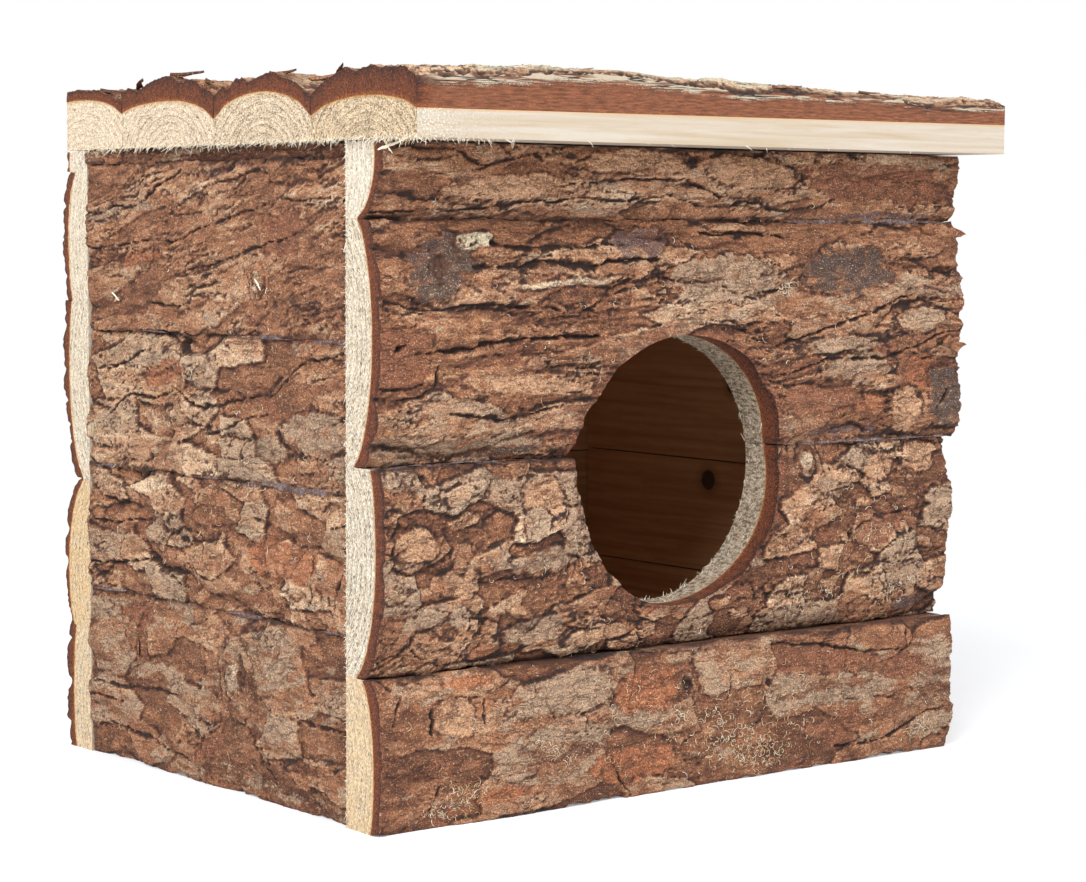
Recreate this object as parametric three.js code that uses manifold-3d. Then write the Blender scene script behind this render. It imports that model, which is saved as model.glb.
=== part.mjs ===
// A small flat-roofed house for a hamster, made of half-round slabs that keep their bark, glued edge to edge.
// Sizes are in millimetres and +Z is up. The front wall, with its round entrance, faces -Y.
// The origin is at floor level, in the middle of the house's overall length and depth.
import * as THREE from "three";
import { mergeVertices } from "three/addons/utils/BufferGeometryUtils.js";
import Module from "manifold-3d";

// Driving dimensions of the house. The roof reaches past the other walls by its eaves, and past the back wall's inner
// face by its rear reach
const WALL_LENGTH = 152.5;
const WALL_HEIGHT = 130;
const ROOM_DEPTH = 97;
const ROOF_LEFT_EAVE = 1;
const ROOF_RIGHT_EAVE = 1.5;
const ROOF_FRONT_EAVE = 11.5;
const ROOF_REAR_REACH = 8.7;
const ENTRANCE_DIAMETER = 55;

// Usual thickness of the wood at a slab's crown, and of the bark on it
const WALL_WOOD = 9.9;
const WALL_BARK = 2.9;
const ROOF_WOOD = 10;
const ROOF_BARK = 3.4;

// How the sawn ends line up at the corners: the side walls stand between the front and back walls, a little in from
// their ends, and the back wall reaches a little further to the left than the front wall
const LEFT_RECESS = 0.7;
const RIGHT_RECESS = 1.9;
const BACK_LEFT_REACH = 1;

// Clearances: a film of glue between slabs, and the layer where the bark leaves the wood
const GLUE_FILM = 0.3;
const BARK_SEAM = 0.3;

// Lumps and long furrows in the bark. The furrows sway with the lumps, so they draw together and part.
const LUMP_RISE = 0.3;
const LUMP_LENGTH = 64;
const FINE_LUMP_LENGTH = 23;
const FURROW_GAP = 12;
const FURROW_SWAY = 3.2;
const FURROW_FINE_SWAY = 0.8;

// Beads of glue pressed out of the joints
const BEAD_RADIUS = 0.45;

// How far a cutting shape reaches past the piece that it cuts
const OVERRUN = 2;

// Places and proportions as shares of the size that they follow
const ENTRANCE_ALONG_SHARE = 0.4892;
const ENTRANCE_UP_SHARE = 0.502;
const ROUNDNESS_SHARE = 0.7;
const FINE_LUMP_SHARE = 0.4;
const SLANT_SHARE = 1.7;
const PHASE_SHARE = 0.618;

// Depth of the furrows as a share of the bark's thickness, and their climb along the slab. A slab's row may differ.
const FURROW_SHARES = { depth: 0.4, tilt: 0.04 };

// Faceting. A slab's wood is straight along it, and its bark has smaller facets.
const WOOD_ACROSS_STEPS = 8;
const BARK_FACET_WIDTH = 2.5;
const BARK_FACET_LENGTH = 6.4;
const EDGE_CROWDING_SHARE = 0.5;
const BEAD_SEAT_STEPS = 10;
const ENTRANCE_SIDES = 40;
const BEAD_CAP_STEPS = 2;
const BEAD_SIDES = 6;

// One row for each slab, from the floor up, or from the front back on the roof. top is where the slab ends, as a
// share of the wall's height or the roof's depth. Each pair holds the value at the slab's two ends: wood and bark
// scale the thicknesses above, and low and high are the shares of the wood left at the two long edges. peak is where
// the crown lies across the slab, and furrow is what differs from FURROW_SHARES. The first end is the left one on the
// front wall and the roof, the right one on the back wall, the rear one on the left wall and the front one on the right.
const FRONT_SHARES = [
  {
    top: 0.2246, wood: [0.93, 0.99], bark: [0.95, 1], low: [0.88, 0.82], high: [0.6, 0.95], peak: 0.4,
    furrow: { depth: 0.24 },
  },
  {
    top: 0.5315, wood: [1, 0.9], bark: [0.95, 0.85], low: [0.36, 0.42], high: [0.82, 0.76], peak: 0.58,
    furrow: { depth: 0.3 },
  },
  {
    top: 0.89, wood: [0.89, 1.1], bark: [1, 1.1], low: [0.32, 0.84], high: [0.44, 0.66], peak: 0.52,
    furrow: { depth: 0.46, tilt: 0.07 },
  },
  { top: 1, wood: [0.97, 0.99], bark: [0.78, 0.9], low: [0.42, 0.72], high: [0.99, 0.99], peak: 0.8 },
];
const BACK_SHARES = [
  { top: 0.2077, wood: [0.84, 0.8], bark: [0.8, 0.9], low: [0.9, 0.86], high: [0.6, 0.84], peak: 0.4 },
  { top: 0.4562, wood: [0.82, 0.98], bark: [0.8, 0.45], low: [0.6, 0.78], high: [0.4, 0.3], peak: 0.38 },
  { top: 0.7523, wood: [0.84, 0.88], bark: [0.8, 0.75], low: [0.5, 0.34], high: [0.62, 0.86], peak: 0.6 },
  { top: 0.966, wood: [0.82, 0.88], bark: [0.8, 0.7], low: [0.55, 0.8], high: [0.8, 0.62], peak: 0.5 },
  {
    top: 1, wood: [0.8, 0.8], bark: [0.4, 0.4], low: [0.97, 0.97], high: [0.97, 0.97], peak: 0.5,
    furrow: { depth: 0.15 },
  },
];
const LEFT_SHARES = [
  {
    top: 0.2792, wood: [1.06, 1], bark: [1, 0.95], low: [0.98, 0.96], high: [0.96, 0.86], peak: 0.42,
    furrow: { depth: 0.24 },
  },
  {
    top: 0.4854, wood: [1.06, 0.97], bark: [1, 1], low: [0.96, 0.86], high: [0.96, 0.86], peak: 0.45,
    furrow: { tilt: -0.04 },
  },
  {
    top: 0.7092, wood: [1.06, 0.98], bark: [1, 1], low: [0.96, 0.86], high: [0.96, 0.86], peak: 0.5,
    furrow: { tilt: 0.08 },
  },
  {
    top: 0.9785, wood: [1.06, 1], bark: [1, 1], low: [0.97, 0.86], high: [0.97, 0.9], peak: 0.48,
    furrow: { tilt: 0.12 },
  },
  {
    top: 1, wood: [1.08, 0.9], bark: [0.9, 0.8], low: [0.98, 0.98], high: [0.98, 0.98], peak: 0.5,
    furrow: { depth: 0.15 },
  },
];
const RIGHT_SHARES = [
  { top: 0.2585, wood: [0.96, 0.98], bark: [0.95, 0.9], low: [0.92, 0.9], high: [0.56, 0.6], peak: 0.42 },
  { top: 0.4615, wood: [0.88, 0.92], bark: [0.9, 0.95], low: [0.6, 0.55], high: [0.66, 0.6], peak: 0.5 },
  { top: 0.7462, wood: [1, 0.94], bark: [0.9, 0.95], low: [0.5, 0.62], high: [0.56, 0.6], peak: 0.52 },
  { top: 1, wood: [0.95, 0.97], bark: [0.95, 0.9], low: [0.54, 0.6], high: [0.9, 0.92], peak: 0.6 },
];
const ROOF_SHARES = [
  {
    top: 0.2646, wood: [0.81, 0.8], bark: [1.42, 1.1], low: [0.645, 0.77], high: [0.6, 0.56], peak: 0.46,
    furrow: { depth: 0.34, tilt: 0 },
  },
  {
    top: 0.5338, wood: [1, 0.96], bark: [0.95, 0.9], low: [0.48, 0.53], high: [0.53, 0.51], peak: 0.5,
    furrow: { depth: 0.44 },
  },
  { top: 0.8154, wood: [0.94, 0.92], bark: [1.15, 1], low: [0.55, 0.5], high: [0.8, 0.7], peak: 0.48 },
  { top: 1, wood: [1.07, 1], bark: [0.55, 0.6], low: [0.68, 0.64], high: [0.98, 0.96], peak: 0.7 },
];

// Where glue shows on the outside: the joint above slab number joint, from one share of its length to another
const FRONT_BEAD_SHARES = [
  { joint: 2, from: 0.82, to: 0.97 },
  { joint: 3, from: 0.72, to: 0.93 },
];
const LEFT_BEAD_SHARES = [
  { joint: 1, from: 0.1, to: 0.62 },
  { joint: 2, from: 0.04, to: 0.5 },
  { joint: 3, from: 0.3, to: 0.9 },
];

const WOOD = { color: 0xe2cfa6, roughness: 0.85, metalness: 0, flatShading: true };
const BARK = { color: 0x7d5a44, roughness: 0.95, metalness: 0, flatShading: true };
const GLUE = { color: 0x8d8796, roughness: 0.35, metalness: 0, flatShading: true };

const wasm = await Module();
wasm.setup();

// A closed three.js geometry as a solid that can be joined and cut.
function solidOf(geometry) {
  const bare = geometry.index ? geometry.toNonIndexed() : geometry.clone();
  bare.deleteAttribute("normal");
  bare.deleteAttribute("uv");
  const merged = mergeVertices(bare);
  return new wasm.Manifold(
    new wasm.Mesh({
      numProp: 3,
      vertProperties: merged.attributes.position.array,
      triVerts: new Uint32Array(merged.index.array),
    }),
  );
}

function geometryOf(solid) {
  const { numProp, numVert, vertProperties, triVerts } = solid.getMesh();
  const places = new Float32Array(numVert * 3);
  for (let i = 0; i < numVert; i++) {
    places.set(vertProperties.subarray(i * numProp, i * numProp + 3), i * 3);
  }
  const indexed = new THREE.BufferGeometry();
  indexed.setAttribute("position", new THREE.BufferAttribute(places, 3));
  indexed.setIndex(new THREE.BufferAttribute(triVerts, 1));
  const flat = indexed.toNonIndexed();
  flat.computeVertexNormals();
  return flat;
}

function meshOf(name, solid, look) {
  const mesh = new THREE.Mesh(geometryOf(solid), new THREE.MeshStandardMaterial(look));
  mesh.name = name;
  return mesh;
}

// The value between a slab's two ends, at a share of its length.
function between([first, last], share) {
  return first + (last - first) * share;
}

// Wood thickness at a share of the slab's length and a share of its width, measured from the low edge.
function woodAt(slab, along, across) {
  const rising = across < slab.peak;
  const reach = rising ? (slab.peak - across) / slab.peak : (across - slab.peak) / (1 - slab.peak);
  const edge = between(rising ? slab.low : slab.high, along);
  const round = Math.max(0, 1 - reach ** 2) ** ROUNDNESS_SHARE;
  return between(slab.wood, along) * (edge + (1 - edge) * round);
}

// The bark's outer surface at real distances along and across one slab, measured from the sawn face: rounded ridges
// with sharp furrows between them, on broad lumps.
function barkAt(slab, along, across) {
  const turn = 2 * Math.PI;
  const phase = turn * PHASE_SHARE * slab.number;
  const broad = Math.sin((turn * (along + SLANT_SHARE * across)) / LUMP_LENGTH + phase);
  const fine = Math.sin((turn * (along - SLANT_SHARE * across)) / FINE_LUMP_LENGTH + 2 * phase);
  const lump = LUMP_RISE * (broad * (1 - FINE_LUMP_SHARE) + fine * FINE_LUMP_SHARE);
  const climb = across - slab.furrow.tilt * along + FURROW_SWAY * broad + FURROW_FINE_SWAY * fine;
  const ridge = Math.abs(Math.sin((Math.PI * climb) / FURROW_GAP + phase)) - 2 / Math.PI;
  const thickness = between(slab.bark, along / slab.length) * (1 + slab.furrow.depth * ridge);
  return woodAt(slab, along / slab.length, across / slab.width) + thickness + lump;
}

// Turns an extrusion (across, out, along) to the frame of a wall: along is +X, out is -Y and across is +Z.
const TO_WALL = new THREE.Matrix4().makeBasis(
  new THREE.Vector3(0, 0, 1),
  new THREE.Vector3(0, -1, 0),
  new THREE.Vector3(1, 0, 0),
);

// A solid on a slab's flat sawn face, whose far side is heightAt(along, across). It runs past both ends by overrun.
// The outline is drawn with an arch of about the right shape, closer together towards the long edges, and then every
// point off the sawn face gets its height.
function slabSolid(slab, { across, along }, overrun, heightAt) {
  const points = [new THREE.Vector2(0, 0), new THREE.Vector2(slab.width, 0)];
  for (let i = across; i >= 0; i--) {
    const turn = (Math.PI * i) / across;
    const even = i / across;
    const share = even - (EDGE_CROWDING_SHARE * Math.sin(2 * turn)) / (2 * Math.PI);
    points.push(new THREE.Vector2(share * slab.width, (1 + Math.sin(turn)) * slab.width));
  }
  const depth = slab.length + 2 * overrun;
  const block = new THREE.ExtrudeGeometry(new THREE.Shape(points), { depth, steps: along, bevelEnabled: false });
  block.translate(0, 0, -overrun);
  const place = block.attributes.position;
  for (let i = 0; i < place.count; i++) {
    if (place.getY(i) > 0) {
      place.setY(i, heightAt(place.getZ(i), place.getX(i)));
    }
  }
  return solidOf(block.applyMatrix4(TO_WALL));
}

// The two pieces of one slab, its wood and its bark, in the wall's frame. A cutter goes through both.
function slabPieces(side, slab, cutter) {
  const core = (along, across) => woodAt(slab, along / slab.length, across / slab.width);
  const hollow = (along, across) => core(along, across) + BARK_SEAM;
  const coarse = { across: WOOD_ACROSS_STEPS, along: 1 };
  const fine = {
    across: Math.max(WOOD_ACROSS_STEPS, Math.round(slab.width / BARK_FACET_WIDTH)),
    along: Math.round(slab.length / BARK_FACET_LENGTH),
  };
  const log = slabSolid(slab, fine, 0, (along, across) => barkAt(slab, along, across));
  let wood = slabSolid(slab, coarse, 0, core).translate([0, 0, slab.base]);
  let bark = log.subtract(slabSolid(slab, coarse, OVERRUN, hollow)).translate([0, 0, slab.base]);
  if (cutter) {
    wood = wood.subtract(cutter);
    bark = bark.subtract(cutter);
  }
  const name = `${side}_slab_${slab.number}`;
  return [meshOf(`${name}_wood`, wood, WOOD), meshOf(`${name}_bark`, bark, BARK)];
}

// Real sizes of the slabs of one wall or of the roof, with a film of glue in every joint.
function slabsOf(rows, { span, length, wood, bark }) {
  return rows.map((row, i) => {
    const base = i === 0 ? 0 : rows[i - 1].top * span + GLUE_FILM / 2;
    const top = i === rows.length - 1 ? span : row.top * span - GLUE_FILM / 2;
    return {
      ...row,
      furrow: { ...FURROW_SHARES, ...row.furrow },
      number: i + 1,
      base,
      width: top - base,
      length,
      wood: row.wood.map((share) => share * wood),
      bark: row.bark.map((share) => share * bark),
    };
  });
}

// The groove above a slab, and how far out a bead's middle line lies there so that it rests clear of both slabs.
function beadSeat(lower, upper, from, to) {
  const reach = BEAD_RADIUS + GLUE_FILM;
  const groove = lower.base + lower.width + GLUE_FILM / 2;
  let seat = 0;
  for (const slab of [lower, upper]) {
    for (let i = 0; i <= BEAD_SEAT_STEPS; i++) {
      for (let k = -BEAD_SEAT_STEPS; k <= BEAD_SEAT_STEPS; k++) {
        const share = k / BEAD_SEAT_STEPS;
        const across = groove + reach * share - slab.base;
        if (across >= 0 && across <= slab.width) {
          const along = from + ((to - from) * i) / BEAD_SEAT_STEPS;
          seat = Math.max(seat, barkAt(slab, along, across) + reach * Math.sqrt(1 - share ** 2));
        }
      }
    }
  }
  return { groove, seat };
}

function glueBead(side, slabs, row, number) {
  const lower = slabs[row.joint - 1];
  const upper = slabs[row.joint];
  const from = row.from * lower.length;
  const to = row.to * lower.length;
  const { groove, seat } = beadSeat(lower, upper, from, to);
  const bead = new THREE.CapsuleGeometry(BEAD_RADIUS, to - from - 2 * BEAD_RADIUS, BEAD_CAP_STEPS, BEAD_SIDES);
  bead.rotateZ(-Math.PI / 2).translate((from + to) / 2, -seat, groove);
  return meshOf(`${side}_glue_bead_${number}`, solidOf(bead), GLUE);
}

// One wall or the roof, standing in its own frame with its sawn face on the plane Y = 0.
function panel(side, rows, sizes, beadRows, cutter) {
  const group = new THREE.Group();
  const slabs = slabsOf(rows, sizes);
  slabs.forEach((slab) => group.add(...slabPieces(side, slab, cutter)));
  beadRows.forEach((row, i) => group.add(glueBead(side, slabs, row, i + 1)));
  return group;
}

const WALL_THICKNESS = WALL_WOOD + WALL_BARK;
const BACK_INNER = WALL_THICKNESS + ROOM_DEPTH;
const WALL_SIZES = { span: WALL_HEIGHT, length: WALL_LENGTH, wood: WALL_WOOD, bark: WALL_BARK };
const BACK_SIZES = { ...WALL_SIZES, length: WALL_LENGTH + BACK_LEFT_REACH };
const SIDE_SIZES = { ...WALL_SIZES, length: ROOM_DEPTH - 2 * GLUE_FILM };
const ROOF_LENGTH = ROOF_LEFT_EAVE + WALL_LENGTH + ROOF_RIGHT_EAVE;
const ROOF_DEPTH = ROOF_FRONT_EAVE + BACK_INNER + ROOF_REAR_REACH;
const ROOF_SIZES = { span: ROOF_DEPTH, length: ROOF_LENGTH, wood: ROOF_WOOD, bark: ROOF_BARK };

function entranceCutter() {
  const radius = ENTRANCE_DIAMETER / 2;
  const reach = 2 * WALL_THICKNESS + OVERRUN;
  const round = new THREE.CylinderGeometry(radius, radius, 2 * reach, ENTRANCE_SIDES);
  return solidOf(round.translate(ENTRANCE_ALONG_SHARE * WALL_LENGTH, 0, ENTRANCE_UP_SHARE * WALL_HEIGHT));
}

function frontWall() {
  const wall = panel("front", FRONT_SHARES, WALL_SIZES, FRONT_BEAD_SHARES, entranceCutter());
  wall.position.set(0, WALL_THICKNESS, 0);
  return wall;
}

function backWall() {
  const wall = panel("back", BACK_SHARES, BACK_SIZES, []);
  wall.rotation.z = Math.PI;
  wall.position.set(WALL_LENGTH, BACK_INNER, 0);
  return wall;
}

function leftWall() {
  const wall = panel("left", LEFT_SHARES, SIDE_SIZES, LEFT_BEAD_SHARES);
  wall.rotation.z = -Math.PI / 2;
  wall.position.set(LEFT_RECESS + WALL_THICKNESS, BACK_INNER - GLUE_FILM, 0);
  return wall;
}

function rightWall() {
  const wall = panel("right", RIGHT_SHARES, SIDE_SIZES, []);
  wall.rotation.z = Math.PI / 2;
  wall.position.set(WALL_LENGTH - RIGHT_RECESS - WALL_THICKNESS, WALL_THICKNESS + GLUE_FILM, 0);
  return wall;
}

function roof() {
  const top = panel("roof", ROOF_SHARES, ROOF_SIZES, []);
  top.rotation.x = -Math.PI / 2;
  top.position.set(-ROOF_LEFT_EAVE, -ROOF_FRONT_EAVE, WALL_HEIGHT + GLUE_FILM);
  return top;
}

const house = new THREE.Group();
house.add(frontWall(), backWall(), leftWall(), rightWall(), roof());
const extent = new THREE.Box3().setFromObject(house);
house.position.set(-(extent.min.x + extent.max.x) / 2, -(extent.min.y + extent.max.y) / 2, -extent.min.z);

const part = new THREE.Group();
part.add(house);

export default part;
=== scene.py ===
"""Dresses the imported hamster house: sawn wood, flaking bark, fibres, glue, loose slivers, and the stage.

Distances inside the functions are in millimetres, and become metres when a piece gets its place.
"""

import math

import bmesh
import bpy
import numpy as np
from bpy.props import FloatProperty, FloatVectorProperty, PointerProperty
from mathutils import Matrix, Vector


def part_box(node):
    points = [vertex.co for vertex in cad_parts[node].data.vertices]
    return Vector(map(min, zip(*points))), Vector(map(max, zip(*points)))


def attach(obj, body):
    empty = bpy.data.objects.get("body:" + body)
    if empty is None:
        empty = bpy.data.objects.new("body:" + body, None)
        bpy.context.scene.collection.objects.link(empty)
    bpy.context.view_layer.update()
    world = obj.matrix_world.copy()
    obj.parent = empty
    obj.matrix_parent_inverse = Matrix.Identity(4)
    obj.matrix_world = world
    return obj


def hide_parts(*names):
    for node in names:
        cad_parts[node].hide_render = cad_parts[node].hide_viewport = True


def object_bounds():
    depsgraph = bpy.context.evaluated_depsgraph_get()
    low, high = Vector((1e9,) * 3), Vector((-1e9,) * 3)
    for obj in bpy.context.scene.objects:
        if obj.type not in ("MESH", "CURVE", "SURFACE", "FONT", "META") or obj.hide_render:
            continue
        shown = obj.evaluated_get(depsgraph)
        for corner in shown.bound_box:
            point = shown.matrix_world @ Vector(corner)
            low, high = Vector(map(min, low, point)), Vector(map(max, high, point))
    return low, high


bl_info = {
    "name": "Hamster House Looks",
    "version": (1, 0, 0),
    "blender": (4, 5, 0),
    "location": "View3D > Sidebar > House",
    "description": "Builds the bark, wood, glue and saw fibres of a hamster house around its CAD frame",
    "category": "Object",
}

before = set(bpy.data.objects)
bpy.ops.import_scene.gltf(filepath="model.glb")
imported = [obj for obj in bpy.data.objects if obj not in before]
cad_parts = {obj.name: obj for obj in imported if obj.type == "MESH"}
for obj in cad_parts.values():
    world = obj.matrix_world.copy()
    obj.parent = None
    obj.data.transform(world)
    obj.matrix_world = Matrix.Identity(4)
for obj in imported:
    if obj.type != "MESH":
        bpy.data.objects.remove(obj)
CAD_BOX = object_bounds()

MM = 0.001
BODY = "root"

# Directions of a slab's length, width and thickness in each side of the house
DIRECTIONS = {
    "front": ((1, 0, 0), (0, 0, 1), (0, -1, 0)),
    "back": ((-1, 0, 0), (0, 0, 1), (0, 1, 0)),
    "left": ((0, -1, 0), (0, 0, 1), (-1, 0, 0)),
    "right": ((0, 1, 0), (0, 0, 1), (1, 0, 0)),
    "roof": ((1, 0, 0), (0, 1, 0), (0, 0, 1)),
}
WALL_THICKNESSES = (9.9, 2.9)
ROOF_THICKNESSES = (10.0, 3.4)

# The CAD slabs' own proportions: wood and bark at their two ends, the wood left at the low and high edges,
# the crown
SLAB_SHARES = {
    "front": [
        ((0.93, 0.99), (0.95, 1), (0.88, 0.82), (0.6, 0.95), 0.4),
        ((1, 0.9), (0.95, 0.85), (0.36, 0.42), (0.82, 0.76), 0.58),
        ((0.89, 1.1), (1, 1.1), (0.32, 0.84), (0.44, 0.66), 0.52),
        ((0.97, 0.99), (0.78, 0.9), (0.42, 0.72), (0.99, 0.99), 0.8),
    ],
    "back": [
        ((0.84, 0.8), (0.8, 0.9), (0.9, 0.86), (0.6, 0.84), 0.4),
        ((0.82, 0.98), (0.8, 0.45), (0.6, 0.78), (0.4, 0.3), 0.38),
        ((0.84, 0.88), (0.8, 0.75), (0.5, 0.34), (0.62, 0.86), 0.6),
        ((0.82, 0.88), (0.8, 0.7), (0.55, 0.8), (0.8, 0.62), 0.5),
        ((0.8, 0.8), (0.4, 0.4), (0.97, 0.97), (0.97, 0.97), 0.5),
    ],
    "left": [
        ((1.06, 1), (1, 0.95), (0.98, 0.96), (0.96, 0.86), 0.42),
        ((1.06, 0.97), (1, 1), (0.96, 0.86), (0.96, 0.86), 0.45),
        ((1.06, 0.98), (1, 1), (0.96, 0.86), (0.96, 0.86), 0.5),
        ((1.06, 1), (1, 1), (0.97, 0.86), (0.97, 0.9), 0.48),
        ((1.08, 0.9), (0.9, 0.8), (0.98, 0.98), (0.98, 0.98), 0.5),
    ],
    "right": [
        ((0.96, 0.98), (0.95, 0.9), (0.92, 0.9), (0.56, 0.6), 0.42),
        ((0.88, 0.92), (0.9, 0.95), (0.6, 0.55), (0.66, 0.6), 0.5),
        ((1, 0.94), (0.9, 0.95), (0.5, 0.62), (0.56, 0.6), 0.52),
        ((0.95, 0.97), (0.95, 0.9), (0.54, 0.6), (0.9, 0.92), 0.6),
    ],
    "roof": [
        ((0.81, 0.8), (1.42, 1.1), (0.645, 0.77), (0.6, 0.56), 0.46),
        ((1, 0.96), (0.95, 0.9), (0.48, 0.53), (0.53, 0.51), 0.5),
        ((0.94, 0.92), (1.15, 1), (0.55, 0.5), (0.8, 0.7), 0.48),
        ((1.07, 1), (0.55, 0.6), (0.68, 0.64), (0.98, 0.96), 0.7),
    ],
}
ROUNDNESS = 0.7

# The round entrance in the front wall: its middle along and up the wall, and its radius
ENTRANCE = (74.603, 65.26, 27.5)

# The long furrows of the bark, which lie where the CAD model has them, in millimetres
FURROW_GAP = 12
FURROW_SWAY = 3.2
FURROW_FINE_SWAY = 0.8

# Bounds of the bark, in millimetres: how thin it may get over its wood, and how far its relief falls and
# rises
THINNEST_BARK = 0.35
LOWEST_RELIEF = -1.9
HIGHEST_RELIEF = 1.2

# Round the entrance the bark goes deeper by this much, over this reach, where this much wood is left
RIM_DEPTH = 2.2
RIM_REACH = 8
RIM_WOOD = 5.6

# Where the bark looks thicker than the CAD's: at the left wall's rear, and along the roof's front edge, most
# of all round one place along it
SWELL_REACH = 16
REAR_SWELL = 1.2
EDGE_SWELL = 0.4
EDGE_SWELL_MORE = 2.2
EDGE_SWELL_MIDDLE = 45
EDGE_SWELL_HALF = 36

# Distance between two growth rings in the sawn ends, and how many times finer than its inner side a piece of
# bark is
RING_GAP = 1.5
BARK_FINENESS = 6
BARK_LAYERS = 5

# Numbers of saw fibres: along the roof's left ends, at its front corner and along the rest of its front
ROOF_END_FIBRES = 780
CORNER_FIBRES = 60
FRONT_FIBRES = 24

# Bark of every slab: depth and tilt of its long furrows, share, size and rise of the older plates that still
# stand on it, rise and size of its flakes, depth and size of its joints, depth and spacing of its long
# cracks, and how lively, fibrous, rusty, grey and dark it is. The furrows are as deep and as tilted as the
# CAD's, but shallower on front slab 1, left slab 4 and roof slab 1, and steeper on left slab 4.
PLAIN_BARK = {
    "furrow": 0.4, "tilt": 0.04, "cover": 0.5, "island_size": (15, 7), "island": 0.5, "flake": 0.45,
    "flake_size": (15, 6), "plate": 0.3, "plate_size": (17, 8), "line": 0.3, "line_gap": 7, "lively": 0.0,
    "fibre": 0.35, "rust": 0.0, "grey": 0.0, "shade": 0.0,
}
BARKS = {
    ("front", 1): {"furrow": 0.2, "cover": 0.65, "island_size": (20, 8.5), "island": 0.6, "flake": 0.2,
                   "flake_size": (20, 8), "plate_size": (24, 9), "line": 0.1, "lively": -0.25, "rust": 0.05,
                   "grey": 0.14, "shade": 0.27},
    ("front", 2): {"furrow": 0.3, "cover": 0.55, "island_size": (11, 6), "island": 1.0, "flake": 0.25,
                   "flake_size": (10, 4.6), "plate_size": (13, 6), "line": 0.1, "lively": 0.3,
                   "shade": 0.05},
    ("front", 3): {"furrow": 0.46, "tilt": 0.07, "cover": 0.42, "island_size": (34, 6.5), "island": 0.55,
                   "flake": 0.46, "flake_size": (32, 6), "plate": 0.1, "line": 0.6, "fibre": 0.9,
                   "rust": 0.05, "shade": 0.12},
    ("front", 4): {"cover": 0.6, "island_size": (30, 6.5), "flake": 0.4, "flake_size": (30, 5),
                   "plate": 0.05, "line": 0.5, "line_gap": 6, "lively": -0.2, "fibre": 0.5, "shade": 0.02,
                   "rust": -0.1},
    ("left", 1): {"furrow": 0.24, "cover": 0.6, "island_size": (16, 8), "island": 0.6, "flake": 0.25,
                  "plate_size": (22, 10), "lively": -0.2, "grey": 0.24, "rust": -0.15, "shade": 0.18},
    ("left", 2): {"tilt": -0.04, "cover": 0.6, "island_size": (13, 6.5), "island": 0.9, "flake": 0.25,
                  "flake_size": (12, 6), "shade": -0.12},
    ("left", 3): {"tilt": 0.08, "cover": 0.55, "island_size": (17, 6.5), "island": 0.8, "flake": 0.28,
                  "line": 0.5, "shade": -0.08},
    ("left", 4): {"furrow": 0.2, "tilt": 0.2, "cover": 0.6, "island_size": (34, 7), "island": 0.45,
                  "flake": 0.42, "flake_size": (38, 5), "plate": 0.05, "line": 0.45, "line_gap": 5,
                  "fibre": 0.8, "grey": -0.05, "rust": -0.1, "shade": 0.08},
    # The top filler strip is made much darker: painted shade of the roof's overhang
    ("left", 5): {"furrow": 0.15, "flake": 0.3, "plate": 0.1, "shade": 0.5, "grey": 0.2},
    ("back", 5): {"furrow": 0.15, "flake": 0.3, "plate": 0.1, "shade": 0.3},
    ("roof", 1): {"furrow": 0.15, "tilt": 0.0, "flake": 0.4, "flake_size": (26, 6), "line": 0.7,
                  "fibre": 0.9, "grey": 0.4, "shade": -0.5, "rust": -0.4},
    ("roof", 2): {"furrow": 0.44, "line": 0.6, "fibre": 0.7, "grey": 0.2, "shade": -0.1},
    ("roof", 3): {"line": 0.7, "fibre": 0.9},
}

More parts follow.
